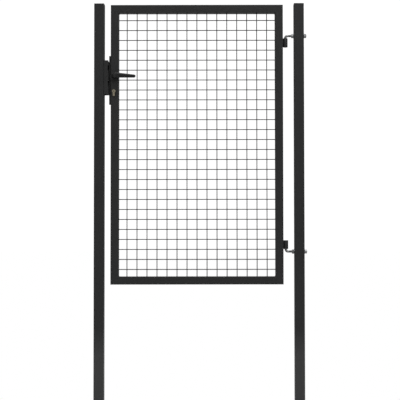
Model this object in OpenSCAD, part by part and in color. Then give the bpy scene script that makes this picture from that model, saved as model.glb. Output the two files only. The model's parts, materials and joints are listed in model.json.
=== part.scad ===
// Garden gate: a swinging leaf of square tube and welded mesh between two square posts.
// The origin is on the ground midway between the posts; +X points to the hinge post,
// -Y to the side that the leaf opens to, +Z up. All sizes are in millimetres.

/* [Posts] */
// Side of the square post tube
post_w = 50; // [40:1:80]
// Wall of the post tube
post_wall = 2; // [1.5:0.5:4]
// Radius of the post tube's outer edges
post_edge_r = 4; // [2.5:0.5:6]
// Height of the posts with their caps
post_h = 2000; // [1800:10:2400]
// Thickness of the cap plate
cap_t = 3; // [2.5:0.5:6]
// Bevel round the cap's top
cap_bevel = 1.5; // [0.5:0.5:2]
// Depth of the cap's spigot inside the post
cap_spigot = 14; // [8:1:30]

/* [Leaf frame] */
// Width of the leaf over its tubes
leaf_w = 862; // [600:1:1200]
// Height of the leaf over its tubes
leaf_h = 1400; // [1000:10:1600]
// Distance from the top of the posts down to the top of the leaf
top_reveal = 7; // [0:1:100]
// Side of the square frame tube
tube_w = 40; // [38:1:48]
// Wall of the frame tube
tube_wall = 2; // [1.5:0.5:2]
// Radius of the frame tube's outer edges
tube_edge_r = 3; // [2.5:0.5:4]
// Gap between the leaf and the latch post
latch_gap = 33; // [33:1:36]
// Gap between the leaf and the hinge post
hinge_gap = 55; // [50:1:80]

/* [Mesh] */
// Spacing of the wires, centre to centre
mesh_pitch = 50; // [25:5:100]
// Diameter of a wire
wire_d = 4.4; // [3:0.2:8]
// Least distance from the outer wires' centres to the tubes
mesh_margin = 20; // [10:1:50]

/* [Hinges] */
// Diameter of the hinge pin and of its threaded shank
pin_d = 12; // [10:1:16]
// Radial clearance between the pin and its barrel
pin_fit = 0.08; // [0.04:0.01:0.1]
// Outer diameter of a hinge barrel
barrel_d = 24; // [22:1:30]
// Height of a hinge barrel
barrel_h = 44; // [30:1:80]
// Gap between a hinge barrel and the leaf's edge
barrel_gap = 0.5; // [0.5:0.5:3]
// Distance from the leaf's top to the middle of the upper barrel
upper_barrel_drop = 189; // [120:1:300]
// Distance from the leaf's bottom to the middle of the lower barrel
lower_barrel_lift = 198; // [120:1:300]
// Radius of the gudgeon's bend at its centre line
gudgeon_bend_r = 12; // [10:0.5:14]
// Width of a nut across its flats
nut_flats = 19; // [17:1:24]
// Height of a nut
nut_h = 10; // [8:1:14]
// Outer diameter of a washer
washer_d = 24; // [22:1:30]
// Thickness of a washer
washer_t = 2.5; // [1.5:0.5:3]

/* [Lock] */
// Distance from the leaf's top to the lever's axis
spindle_drop = 363; // [340:1:900]
// Distance from the lever's axis down to the cylinder's axis
lock_centres = 72; // [72:1:92]
// Distance from the forend's face to the lever's axis
backset = 25; // [24.5:0.5:26]
// Height of the forend and of the pad behind it
forend_h = 243; // [235:1:280]
// Distance from the lever's axis up to the forend's top
forend_rise = 107; // [95:1:120]
// Width of the forend
forend_w = 22; // [20:1:26]
// Thickness of the forend
forend_t = 3; // [2:0.5:4]
// Thickness of the welded pad that carries the forend
pad_t = 5.5; // [4:0.5:6]
// Thickness of the lock case across the leaf
case_t = 15; // [14:1:18]
// Sheet of the lock case
case_wall = 1.5; // [1:0.5:2]
// Distance that the latch stands out of the forend
latch_throw = 12; // [8:1:12]
// Turn of the lever that draws the latch in
lever_turn = 40; // [30:5:45]
// Distance that the deadbolt travels
deadbolt_throw = 20; // [15:1:20]
// Length of the profile cylinder
cylinder_len = 60; // [55:5:80]

/* [Lever] */
// Diameter of a rose
rose_d = 40; // [38:1:52]
// Height of a rose
rose_h = 10; // [9:1:14]
// Side of the square spindle
spindle_w = 8; // [7:1:9]
// Diameter of the lever's neck
neck_d = 16; // [15:1:18]
// Distance from the leaf to the middle of the grip
grip_reach = 36; // [32:1:60]
// Distance from the lever's axis to the grip's tip
lever_len = 111; // [90:1:140]
// Height of the grip at its root
grip_root_h = 26; // [18:1:32]
// Height of the grip at its tip
grip_tip_h = 15.5; // [10:0.5:20]
// Depth of the grip
grip_depth = 12; // [8:1:14]
// Distance from the lever's axis down to the grip's bottom edge
grip_drop = 9; // [3:1:12]
// Diameter of the knob on the rear face
knob_d = 36; // [30:1:44]
// Thickness of the knob
knob_t = 20; // [14:1:26]

/* [Keeper] */
// Height of the keeper
keeper_h = 169; // [165:1:220]
// Plate of the keeper
keeper_t = 3; // [2:0.5:4]
// Gap between the keeper's front lip and the forend
lip_gap = 1.5; // [1:0.5:3]
// Distance that the lip stands out past the strike plate
lip_depth = 4; // [3:0.5:5]
// Width of the rear stop behind the leaf
stop_lap = 12; // [8:1:20]

/* [Hidden] */
$fn = 96;

steel = "dimgray";
zinc = "gainsboro";
black = [0.1, 0.1, 0.1];
brass = "darkkhaki";
nylon = "ivory";
eps = 1;
least_r = 0.2;

// Clearances
slip = 0.1;        // between two flat or round pieces that are put together by hand
slide_gap = 0.3;   // round a piece that slides
weld_gap = 0.02;   // between the two layers of mesh wires
cut_gap = 0.5;     // round the lock case in its cut-outs

// Places of the posts and the leaf
opening_w = latch_gap + leaf_w + hinge_gap;
post_x = (opening_w + post_w) / 2;
leaf_x0 = -opening_w / 2 + latch_gap;
leaf_x1 = leaf_x0 + leaf_w;
leaf_z1 = post_h - top_reveal;
leaf_z0 = leaf_z1 - leaf_h;
front_y = -tube_w / 2;

// Mesh
inner_w = leaf_w - 2 * tube_w;
inner_h = leaf_h - 2 * tube_w;
n_vertical = floor((inner_w - 2 * mesh_margin) / mesh_pitch) + 1;
n_horizontal = floor((inner_h - 2 * mesh_margin) / mesh_pitch) + 1;
first_wire_x = (leaf_x0 + leaf_x1 - (n_vertical - 1) * mesh_pitch) / 2;
first_wire_z = (leaf_z0 + leaf_z1 - (n_horizontal - 1) * mesh_pitch) / 2;

// Hinges
hinge_offset = barrel_d / 2 + barrel_gap;
hinge_x = leaf_x1 + hinge_offset;
upper_barrel_z = leaf_z1 - upper_barrel_drop;
lower_barrel_z = leaf_z0 + lower_barrel_lift;
gudgeon_rise = gudgeon_bend_r + slide_gap;
upper_rod_z = upper_barrel_z + barrel_h / 2 + gudgeon_rise;
lower_rod_z = lower_barrel_z - barrel_h / 2 - gudgeon_rise;
pin_chamfer = 1;
pin_end = 2;
rod_end = 1;
post_hole_d = pin_d + 1;
cap_spigot_wall = 1.5;
seat_w = 10;

// Lock, measured from the forend's face and the lever's axis
forend_x = leaf_x0 - pad_t - forend_t;
pad_x = leaf_x0 - pad_t;
spindle_x = forend_x + backset;
spindle_z = leaf_z1 - spindle_drop;
cylinder_z = spindle_z - lock_centres;
forend_z1 = spindle_z + forend_rise;
forend_z0 = forend_z1 - forend_h;
forend_screw_inset = 12;
case_back_gap = 5.5;
case_x1 = leaf_x0 + tube_w - tube_wall - case_back_gap;
case_z1 = spindle_z + 62;
case_z0 = cylinder_z - 42;
case_in_x1 = case_x1 - case_wall;

// Latch
latch_rise = 45;
latch_z = spindle_z + latch_rise;
latch_h = 22;
latch_t = case_t - 2 * case_wall - 2 * slide_gap;
latch_body = 10.5;
latch_back_x = forend_x + latch_body;
tail_t = 5;
tail_z0 = latch_z - 9;
tail_z1 = latch_z - 2;
leg_t = 2.5;
leg_rise = 15;
spring_z = latch_z + 6;
spring_wire = 0.9;
spring_r = 2.9;
peg_d = 4;
peg_len = 5;

// Follower: its arm swings evenly to both sides of upright while the lever turns
arm_r = latch_throw / (2 * sin(lever_turn / 2));
arm_w = 6;
arm_fit = 0.4;
arm_t = 8;
arm_side_x = arm_w / 2 / cos(lever_turn / 2) - leg_rise * tan(lever_turn / 2);
leg_x = spindle_x + arm_side_x + arm_fit;
follower_d = 20;
trunnion_d = 14;
follower_t = case_t - 2 * case_wall - 2 * slide_gap;

// Deadbolt
deadbolt_drop = 33;
deadbolt_z = spindle_z - deadbolt_drop;
deadbolt_h = 25;
deadbolt_t = latch_t;
deadbolt_recess = 0.5;
deadbolt_len = 32;
deadbolt_tail_t = 4;
// the tail stops short of the case's front wall when the deadbolt is thrown
deadbolt_tail_w = deadbolt_recess + deadbolt_len - deadbolt_throw - forend_t - case_wall - slide_gap;

// Profile cylinder
profile_d = 17;
profile_h = 33;
leg_w = 10;
plug_d = 13;
plug_fit = 0.05;
cam_t = 9.4;
cam_gap = 10;
cam_d = 15;
cam_reach = 14;
cam_w = 6;
bridge_drop = cam_reach + 1;
cylinder_screw_drop = 20;
keyway_w = 2.4;
keyway_h = 8;
keyway_depth = 18;
plug_proud = 0.4;

// Screws
m5 = 5;
m5_head = 9;
m4 = 4;
m4_head = 7.5;
m8 = 8;
m8_flats = 13;
m8_head = 5.3;

// Roses and levers
rose_wall = 1.5;
rose_base_h = 4;
bush_d = neck_d + 4;
rose_screw_r = 14;
stile_hole_d = neck_d - 3;
neck_y = grip_reach - grip_depth / 2;
spindle_len = 2 * (tube_w / 2 + neck_y - 3);
return_wire = 1.2;
return_turns = 3;
return_r = (bush_d + rose_d - 2 * rose_wall) / 4;
knob_z = neck_y - 8;
knob_chamfer = 3;
lever_screw_y = tube_w / 2 + rose_h + 6;

// Keeper
post_face_x = -opening_w / 2;
keeper_z0 = spindle_z - 86;
keeper_z1 = keeper_z0 + keeper_h;
lip_x = forend_x - lip_gap;
strike_x1 = lip_x - lip_depth;
keeper_front = -post_w / 2 - 2;
stop_gap = 0.8;
stop_y = tube_w / 2 + stop_gap;
stop_x = leaf_x0 + stop_lap;
stop_z0 = spindle_z + rose_d / 2 + 2;
window_fit = 1.5;
window_play = 0.8;
// the deadbolt's window leaves room for the leaf to sag
deadbolt_fit = 2.8;
deadbolt_play = 2.2;
keeper_bolt_inset = 14;
lip_round = 4;

// ---- Shared shapes ----

// Square with round corners, centred
module round_square(w, d, r) {
  square([w - 2 * r, d], center = true);
  square([w, d - 2 * r], center = true);
  for (sx = [-1, 1], sy = [-1, 1]) {
    translate([sx * (w / 2 - r), sy * (d / 2 - r)]) circle(r = r);
  }
}

// Square tube along +Z, centred on the axis
module square_tube(w, wall, r, length) {
  linear_extrude(length) difference() {
    round_square(w, w, r);
    round_square(w - 2 * wall, w - 2 * wall, max(r - wall, least_r));
  }
}

// Frame tube along +Z from z = 0, outer side at x = 0, both ends mitred towards +X
module mitred_tube(length) {
  big = tube_w + 2 * eps;
  difference() {
    translate([tube_w / 2, 0, 0]) square_tube(tube_w, tube_wall, tube_edge_r, length);
    rotate([90, 0, 0]) linear_extrude(2 * big, center = true) {
      polygon([[-eps, length + eps], [big, length - big], [big, length + eps]]);
      polygon([[-eps, -eps], [big, big], [big, -eps]]);
    }
  }
}

// Cylinder along +X from x = 0
module rod_x(d, length) {
  rotate([0, 90, 0]) cylinder(d = d, h = length);
}

// Cylinder along Y, centred
module rod_y(d, length) {
  rotate([90, 0, 0]) cylinder(d = d, h = length, center = true);
}

// Box between two corners
module box(low, high) {
  translate(low) cube(high - low);
}

// Places its child on the front and on the rear face of the leaf, with +Z pointing out
module both_faces(x, z) {
  translate([x, front_y, z]) rotate([90, 0, 0]) children();
  translate([x, -front_y, z]) mirror([0, 1, 0]) rotate([90, 0, 0]) children();
}

// Coil spring along +Z from z = 0, its ends closed down on its own pitch
module coil(r, wire, turns, length) {
  sides = 8;
  steps = 20;
  rings = turns * steps;
  rise = (length - wire) / rings;
  points = [for (i = [0:rings], k = [0:sides - 1])
    let (a = 360 * i / steps, b = 360 * k / sides, q = r + wire / 2 * cos(b))
    [q * cos(a), q * sin(a), wire / 2 + i * rise + wire / 2 * sin(b)]];
  walls = [for (i = [0:rings - 1], k = [0:sides - 1])
    let (n = (k + 1) % sides)
    [i * sides + k, i * sides + n, (i + 1) * sides + n, (i + 1) * sides + k]];
  low = [for (k = [sides - 1:-1:0]) k];
  high = [for (k = [0:sides - 1]) rings * sides + k];
  polyhedron(points, concat([low, high], walls), convexity = 10);
}

// ---- Posts ----

module post(x) {
  translate([x, 0, 0]) square_tube(post_w, post_wall, post_edge_r, post_h - cap_t);
}

module latch_post() {
  hole_depth = post_wall + 2 * eps;
  color(steel) difference() {
    post(-post_x);
    for (z = [keeper_z0 + keeper_bolt_inset, keeper_z1 - keeper_bolt_inset]) {
      translate([post_face_x - post_wall - eps, 0, z]) rod_x(m8 + slip, hole_depth);
    }
  }
}

module hinge_post() {
  color(steel) difference() {
    post(post_x);
    for (z = [upper_rod_z, lower_rod_z]) {
      translate([post_x - post_w / 2 - eps, 0, z]) rod_x(post_hole_d, post_w + 2 * eps);
    }
  }
}

module post_cap() {
  spigot_w = post_w - 2 * post_wall - 2 * slip;
  difference() {
    linear_extrude(cap_t) round_square(post_w, post_w, post_edge_r);
    for (a = [0:90:270]) {
      rotate([0, 0, a]) translate([post_w / 2 - cap_bevel, 0, cap_t])
        rotate([0, 45, 0]) translate([0, -post_w, 0]) cube([post_w, 2 * post_w, post_w]);
    }
  }
  translate([0, 0, -cap_spigot])
    square_tube(spigot_w, cap_spigot_wall, post_edge_r - post_wall, cap_spigot);
}

module post_caps() {
  color(steel) for (x = [-post_x, post_x]) {
    translate([x, 0, post_h - cap_t]) post_cap();
  }
}

// L-shaped bolt: pin along -Z below the bend, shank along +X through the post
module gudgeon() {
  shank = post_x + post_w / 2 + washer_t + nut_h + rod_end - hinge_x - gudgeon_bend_r;
  pin = slide_gap + barrel_h - pin_end;
  translate([gudgeon_bend_r, 0, 0]) rod_x(pin_d, shank);
  translate([gudgeon_bend_r, 0, -gudgeon_bend_r]) rotate([90, 0, 0])
    rotate([0, 0, 90]) rotate_extrude(angle = 90) translate([gudgeon_bend_r, 0]) circle(d = pin_d);
  translate([0, 0, -gudgeon_bend_r - pin + pin_chamfer]) cylinder(d = pin_d, h = pin - pin_chamfer);
  translate([0, 0, -gudgeon_bend_r - pin])
    cylinder(d1 = pin_d - 2 * pin_chamfer, d2 = pin_d, h = pin_chamfer);
}

module upper_gudgeon() {
  color(zinc) translate([hinge_x, 0, upper_rod_z]) gudgeon();
}

module lower_gudgeon() {
  color(zinc) translate([hinge_x, 0, lower_rod_z]) mirror([0, 0, 1]) gudgeon();
}

// Places its child beside the hinge post on both sides at both shanks, with +X pointing out
module post_sides(offset_x) {
  for (z = [upper_rod_z, lower_rod_z], side = [0, 1]) {
    translate([post_x, 0, z]) mirror([side, 0, 0])
      translate([post_w / 2 + offset_x, 0, 0]) children();
  }
}

module gudgeon_nuts() {
  color(zinc) post_sides(washer_t) rotate([0, 90, 0]) difference() {
    cylinder(d = nut_flats / cos(30), h = nut_h, $fn = 6);
    translate([0, 0, -eps]) cylinder(d = pin_d + slip, h = nut_h + 2 * eps);
  }
}

module gudgeon_washers() {
  color(zinc) post_sides(0) rotate([0, 90, 0]) difference() {
    cylinder(d = washer_d, h = washer_t);
    translate([0, 0, -eps]) cylinder(d = post_hole_d, h = washer_t + 2 * eps);
  }
}

// ---- Keeper on the latch post ----

module keeper_channel() {
  latch_win = latch_h + 2 * window_fit;
  deadbolt_win = deadbolt_h + 2 * window_fit;
  color(steel) difference() {
    union() {
      box([post_face_x, keeper_front, keeper_z0],
          [post_face_x + keeper_t, stop_y + keeper_t, keeper_z1]);
      box([post_face_x, keeper_front, keeper_z0], [lip_x, keeper_front + keeper_t, keeper_z1]);
      box([post_face_x, stop_y, keeper_z0], [lip_x, stop_y + keeper_t, keeper_z1]);
      box([post_face_x, stop_y, stop_z0], [stop_x, stop_y + keeper_t, keeper_z1]);
    }
    for (win = [[latch_z, latch_win], [deadbolt_z, deadbolt_win]]) {
      box([strike_x1, keeper_front - eps, win[0] - win[1] / 2],
          [lip_x + eps, keeper_front + keeper_t + eps, win[0] + win[1] / 2]);
    }
    for (z = [keeper_z0 + keeper_bolt_inset, keeper_z1 - keeper_bolt_inset]) {
      translate([post_face_x - eps, 0, z]) rod_x(m8 + slip, keeper_t + 2 * eps);
    }
    for (z = [[keeper_z0, 1], [keeper_z1, -1]]) {
      translate([lip_x - lip_round, 0, z[0] + z[1] * lip_round])
        rotate([90, 0, 0]) linear_extrude(2 * post_w, center = true) difference() {
          translate([0, z[1] > 0 ? -lip_round - eps : 0]) square(lip_round + eps);
          circle(r = lip_round);
        }
    }
  }
}

module keeper_strike() {
  color(steel) difference() {
    box([strike_x1 - keeper_t, keeper_front + keeper_t, keeper_z0],
        [strike_x1, stop_y, keeper_z1]);
    for (win = [[latch_z, latch_h + 2 * window_fit, latch_t + 2 * window_play],
                [deadbolt_z, deadbolt_h + 2 * deadbolt_fit, deadbolt_t + 2 * deadbolt_play]]) {
      translate([strike_x1 - keeper_t / 2, 0, win[0]])
        cube([keeper_t + 2 * eps, win[2], win[1]], center = true);
    }
    for (z = [keeper_z0 + keeper_bolt_inset, keeper_z1 - keeper_bolt_inset]) {
      translate([strike_x1 - keeper_t - eps, 0, z])
        rod_x(m8_flats / cos(30) + 2, keeper_t + 2 * eps);
    }
  }
}

module keeper_bolts() {
  color(zinc) for (z = [keeper_z0 + keeper_bolt_inset, keeper_z1 - keeper_bolt_inset]) {
    translate([post_face_x + keeper_t, 0, z]) rotate([0, 90, 0])
      cylinder(d = m8_flats / cos(30), h = m8_head, $fn = 6);
    translate([post_face_x - post_wall - 4, 0, z]) rod_x(m8, keeper_t + post_wall + 4);
  }
}

// ---- Leaf frame ----

module top_rail() {
  color(steel) translate([leaf_x0, 0, leaf_z1]) mirror([0, 0, 1]) mirror([1, 0, -1])
    mitred_tube(leaf_w);
}

module bottom_rail() {
  color(steel) translate([leaf_x0, 0, leaf_z0]) mirror([1, 0, -1]) mitred_tube(leaf_w);
}

module hinge_stile() {
  color(steel) translate([leaf_x1, 0, leaf_z0]) mirror([1, 0, 0]) mitred_tube(leaf_h);
}

// Latch stile with the lock's mortice, the profile holes, the spindle holes and the screw holes
module latch_stile() {
  color(steel) difference() {
    translate([leaf_x0, 0, leaf_z0]) mitred_tube(leaf_h);
    lock_slot();
    translate([spindle_x, 0, cylinder_z]) rotate([90, 0, 0])
      linear_extrude(2 * tube_w, center = true) profile(cut_gap);
    translate([spindle_x, 0, spindle_z]) rod_y(stile_hole_d, 2 * tube_w);
    for (side = [-1, 1]) {
      translate([spindle_x, 0, spindle_z + side * rose_screw_r]) rod_y(m4 + slip, 2 * tube_w);
    }
    forend_holes(m5 + slip);
  }
}

module mesh_vertical_wires() {
  color(steel) for (i = [0:n_vertical - 1]) {
    translate([first_wire_x + i * mesh_pitch, -(wire_d + weld_gap) / 2, leaf_z0 + tube_w])
      cylinder(d = wire_d, h = inner_h);
  }
}

module mesh_horizontal_wires() {
  color(steel) for (i = [0:n_horizontal - 1]) {
    translate([leaf_x0 + tube_w, (wire_d + weld_gap) / 2, first_wire_z + i * mesh_pitch])
      rod_x(wire_d, inner_w);
  }
}

// Hinge barrel centred on its height, with the weld seat that joins it to the stile
module hinge_barrel() {
  difference() {
    union() {
      cylinder(d = barrel_d, h = barrel_h, center = true);
      translate([-hinge_offset, -seat_w / 2, -barrel_h / 2])
        cube([hinge_offset - pin_d / 2 - eps, seat_w, barrel_h]);
    }
    cylinder(r = pin_d / 2 + pin_fit, h = barrel_h + 2 * eps, center = true);
  }
}

module upper_hinge_barrel() {
  color(steel) translate([hinge_x, 0, upper_barrel_z]) hinge_barrel();
}

module lower_hinge_barrel() {
  color(steel) translate([hinge_x, 0, lower_barrel_z]) hinge_barrel();
}

// ---- Lock ----

// Room for the lock case in the pad and the stile
module lock_slot() {
  box([pad_x - eps, -case_t / 2 - cut_gap, case_z0 - cut_gap],
      [leaf_x0 + tube_w / 2, case_t / 2 + cut_gap, case_z1 + cut_gap]);
}

module forend_holes(d) {
  for (z = [forend_z0 + forend_screw_inset, forend_z1 - forend_screw_inset]) {
    translate([forend_x - eps, 0, z]) rod_x(d, leaf_x0 + tube_wall + 2 * eps - forend_x);
  }
}

// Flat strip with the forend's outline between two places along X
module strip(x0, x1) {
  box([x0, -forend_w / 2, forend_z0], [x1, forend_w / 2, forend_z1]);
}

module lock_pad() {
  color(steel) difference() {
    strip(pad_x, leaf_x0);
    lock_slot();
    forend_holes(m5 + slip);
  }
}

// Conical seat for a countersunk head, its mouth on the forend's face
module head_seat(z, extra) {
  translate([forend_x, 0, z]) rotate([0, 90, 0])
    cylinder(d1 = m5_head + extra, d2 = m5 + extra, h = (m5_head - m5) / 2);
}

module forend() {
  color(zinc) difference() {
    strip(forend_x, forend_x + forend_t);
    forend_holes(m5 + slip);
    translate([forend_x - eps, 0, cylinder_z - cylinder_screw_drop])
      rod_x(m5 + slip, forend_t + 2 * eps);
    for (z = [forend_z0 + forend_screw_inset, forend_z1 - forend_screw_inset,
              cylinder_z - cylinder_screw_drop]) {
      head_seat(z, slip);
    }
    bolt_windows(forend_x - eps, forend_x + forend_t + eps);
  }
}

// Openings that the latch and the deadbolt slide through
module bolt_windows(x0, x1) {
  box([x0, -latch_t / 2 - slide_gap, latch_z - latch_h / 2 - slide_gap],
      [x1, latch_t / 2 + slide_gap, latch_z + latch_h / 2 + slide_gap]);
  box([x0, -deadbolt_t / 2 - slide_gap, deadbolt_z - deadbolt_h / 2 - slide_gap],
      [x1, deadbolt_t / 2 + slide_gap, deadbolt_z + deadbolt_h / 2 + slide_gap]);
}

// Screw along +X with its countersunk head flush with the forend's face
module forend_screw(z, length) {
  head_seat(z, 0);
  translate([forend_x + (m5_head - m5) / 2, 0, z]) rod_x(m5, length - (m5_head - m5) / 2);
}

module forend_screws() {
  color(zinc) for (z = [forend_z0 + forend_screw_inset, forend_z1 - forend_screw_inset]) {
    forend_screw(z, forend_t + pad_t + tube_wall + 2);
  }
}

module cylinder_screw() {
  color(zinc) forend_screw(cylinder_z - cylinder_screw_drop, backset + leg_w / 4);
}

// Places its child at the case's four corners
module case_corners() {
  for (x = [pad_x + 6, case_x1 - 5], z = [case_z0 + 5, case_z1 - 4]) {
    translate([x, 0, z]) children();
  }
}

module lock_case() {
  color(zinc) difference() {
    union() {
      difference() {
        box([pad_x, -case_t / 2, case_z0], [case_x1, case_t / 2 - case_wall, case_z1]);
        box([pad_x + case_wall, -case_t / 2 + case_wall, case_z0 + case_wall],
            [case_in_x1, case_t / 2, case_z1 - case_wall]);
      }
      translate([case_in_x1 - peg_len, 0, spring_z]) rod_x(peg_d, peg_len + case_wall / 2);
    }
    bolt_windows(pad_x - eps, pad_x + case_wall + eps);
    case_side_holes();
    translate([pad_x - eps, 0, cylinder_z - cylinder_screw_drop])
      rod_x(m5 + slip, case_wall + 2 * eps);
  }
}

// Holes through both sides of the case for the follower, the cylinder and the rivets
module case_side_holes() {
  translate([spindle_x, 0, spindle_z]) rod_y(trunnion_d + 2 * slip, 2 * case_t);
  translate([spindle_x, 0, cylinder_z]) rotate([90, 0, 0])
    linear_extrude(2 * case_t, center = true) profile(slip);
  case_corners() rod_y(3 + slip, 2 * case_t);
}

module lock_case_lid() {
  color(zinc) difference() {
    box([pad_x, case_t / 2 - case_wall, case_z0], [case_x1, case_t / 2, case_z1]);
    case_side_holes();
  }
}

module case_rivets() {
  color(zinc) case_corners() rod_y(3, case_t);
}

// ---- Handle ----

module rose_bases() {
  color(zinc) both_faces(spindle_x, spindle_z) difference() {
    cylinder(d = rose_d - 2 * rose_wall - slip, h = rose_base_h);
    translate([0, 0, -eps]) cylinder(d = bush_d + slip, h = rose_base_h + 2 * eps);
    for (side = [-1, 1]) {
      translate([0, side * rose_screw_r, 0]) rose_screw(slip);
    }
  }
}

module rose_covers() {
  color(black) both_faces(spindle_x, spindle_z) difference() {
    cylinder(d = rose_d, h = rose_h);
    translate([0, 0, -eps]) cylinder(d = rose_d - 2 * rose_wall, h = rose_h - rose_wall + eps);
    cylinder(d = bush_d + slip, h = rose_h + eps);
  }
}

module rose_bushes() {
  color(nylon) both_faces(spindle_x, spindle_z) difference() {
    cylinder(d = bush_d, h = rose_h);
    translate([0, 0, -eps]) cylinder(d = neck_d + 2 * slip, h = rose_h + 2 * eps);
  }
}

// Countersunk screw flush with the rose base's top, grown by a clearance
module rose_screw(grow) {
  head_h = (m4_head - m4) / 2;
  low = -tube_wall - 2;
  translate([0, 0, low]) cylinder(d = m4 + grow, h = rose_base_h - head_h - low);
  translate([0, 0, rose_base_h - head_h])
    cylinder(d1 = m4 + grow, d2 = m4_head + grow, h = head_h);
}

module rose_screws() {
  color(zinc) both_faces(spindle_x, spindle_z) for (side = [-1, 1]) {
    translate([0, side * rose_screw_r, 0]) rose_screw(0);
  }
}

module return_springs() {
  color(zinc) both_faces(spindle_x, spindle_z) translate([0, 0, rose_base_h + weld_gap])
    coil(bush_d / 2 + return_wire, return_wire, return_turns, rose_h - rose_wall - rose_base_h - slip);
}

// Outline of the grip: level along the bottom, falling towards the tip, round at both ends
module grip_outline() {
  tip_x = lever_len - grip_tip_h / 2;
  polygon([[0, -grip_drop], [tip_x, -grip_drop], [tip_x, grip_tip_h - grip_drop],
           [0, grip_root_h - grip_drop]]);
  translate([0, grip_root_h / 2 - grip_drop]) circle(d = grip_root_h);
  translate([tip_x, grip_tip_h / 2 - grip_drop]) circle(d = grip_tip_h);
}

// Neck on the spindle, with +Z pointing away from the leaf; the children join on to it
module handle() {
  difference() {
    union() {
      translate([0, 0, slip]) cylinder(d = neck_d, h = grip_reach);
      children();
    }
    translate([0, 0, neck_y / 2 - eps])
      cube([spindle_w + slip, spindle_w + slip, neck_y + 2 * eps], center = true);
    translate([0, 0, lever_screw_y - tube_w / 2]) rotate([90, 0, 0]) cylinder(d = m5, h = neck_d);
  }
}

module front_lever() {
  color(black) translate([spindle_x, front_y, spindle_z]) rotate([90, 0, 0]) handle()
    translate([0, 0, neck_y]) linear_extrude(grip_depth) grip_outline();
}

// Round knob, small enough to hide behind the latch stile
module rear_knob() {
  rim_d = knob_d - 2 * knob_chamfer;
  color(black) translate([spindle_x, -front_y, spindle_z]) mirror([0, 1, 0]) rotate([90, 0, 0])
    handle() translate([0, 0, knob_z]) {
      cylinder(d1 = rim_d, d2 = knob_d, h = knob_chamfer);
      translate([0, 0, knob_chamfer]) cylinder(d = knob_d, h = knob_t - 2 * knob_chamfer);
      translate([0, 0, knob_t - knob_chamfer]) cylinder(d1 = knob_d, d2 = rim_d, h = knob_chamfer);
    }
}

module lever_screws() {
  color(zinc) for (side = [-1, 1]) {
    translate([spindle_x, side * lever_screw_y, spindle_z - neck_d / 2 + 0.2])
      cylinder(d = m5 - slip, h = (neck_d - spindle_w) / 2 - 0.3);
  }
}

module spindle() {
  color(zinc) translate([spindle_x, 0, spindle_z])
    cube([spindle_w, spindle_len, spindle_w], center = true);
}

module follower() {
  color(zinc) translate([spindle_x, 0, spindle_z]) difference() {
    union() {
      rod_y(follower_d, follower_t);
      rod_y(trunnion_d, case_t);
      rotate([0, -lever_turn / 2, 0]) translate([-arm_w / 2, -arm_t / 2, spindle_w])
        cube([arm_w, arm_t, arm_r - spindle_w]);
    }
    cube([spindle_w + slip, 2 * case_t, spindle_w + slip], center = true);
  }
}

// ---- Latch, deadbolt and cylinder ----

// Latch: bevelled head, tail bar and the leg that the follower's arm pushes
module latch_bolt() {
  tip_x = forend_x - latch_throw;
  color(zinc) union() {
    translate([0, 0, latch_z - latch_h / 2]) linear_extrude(latch_h)
      polygon([[latch_back_x, -latch_t / 2], [latch_back_x, latch_t / 2], [tip_x, latch_t / 2],
               [tip_x, latch_t / 2 - 2], [forend_x, -latch_t / 2]]);
    box([latch_back_x - eps, -tail_t / 2, tail_z0], [leg_x + leg_t, tail_t / 2, tail_z1]);
    box([leg_x, -tail_t / 2, spindle_z + leg_rise], [leg_x + leg_t, tail_t / 2, tail_z1]);
  }
}

module latch_spring() {
  color(zinc) translate([latch_back_x + weld_gap, 0, spring_z]) rotate([0, 90, 0])
    coil(spring_r, spring_wire, 8, case_in_x1 - latch_back_x - 2 * weld_gap);
}

// Deadbolt with its tail reaching down towards the cylinder's cam
module deadbolt() {
  x0 = forend_x + deadbolt_recess;
  x1 = x0 + deadbolt_len;
  color(zinc) union() {
    box([x0, -deadbolt_t / 2, deadbolt_z - deadbolt_h / 2],
        [x1, deadbolt_t / 2, deadbolt_z + deadbolt_h / 2]);
    box([x1 - deadbolt_tail_w, -deadbolt_tail_t / 2, cylinder_z + cam_reach + slide_gap],
        [x1, deadbolt_tail_t / 2, deadbolt_z]);
  }
}

// Outline of the profile cylinder, grown by a clearance
module profile(grow) {
  low = profile_h - profile_d / 2 - leg_w / 2;
  circle(d = profile_d + 2 * grow);
  translate([-leg_w / 2 - grow, -low]) square([leg_w + 2 * grow, low]);
  translate([0, -low]) circle(d = leg_w + 2 * grow);
}

module cylinder_body() {
  color(brass) translate([spindle_x, 0, cylinder_z]) difference() {
    rotate([90, 0, 0]) linear_extrude(cylinder_len, center = true) profile(0);
    rod_y(plug_d, cylinder_len + 2 * eps);
    box([-profile_d, -cam_gap / 2, -bridge_drop], [profile_d, cam_gap / 2, profile_d]);
    translate([-profile_d, 0, -cylinder_screw_drop]) rod_x(m5 + slip, 2 * profile_d);
  }
}

// Plug along -Y from the cam's face to just past the cylinder's end, with its keyway
module plug() {
  length = (cylinder_len - cam_t) / 2 + plug_proud;
  difference() {
    translate([0, -cam_t / 2, 0]) rotate([90, 0, 0])
      cylinder(r = plug_d / 2 - plug_fit, h = length);
    box([-keyway_w / 2, -cam_t / 2 - length - eps, -plug_d / 2 + eps],
        [keyway_w / 2, -cam_t / 2 - length + keyway_depth, -plug_d / 2 + eps + keyway_h]);
  }
}

module front_plug() {
  color(brass) translate([spindle_x, 0, cylinder_z]) plug();
}

module rear_plug() {
  color(brass) translate([spindle_x, 0, cylinder_z]) mirror([0, 1, 0]) plug();
}

module cylinder_cam() {
  color(zinc) translate([spindle_x, 0, cylinder_z]) {
    rod_y(cam_d, cam_t);
    translate([0, 0, cam_reach / 2]) cube([cam_w, cam_t, cam_reach], center = true);
  }
}

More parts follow.
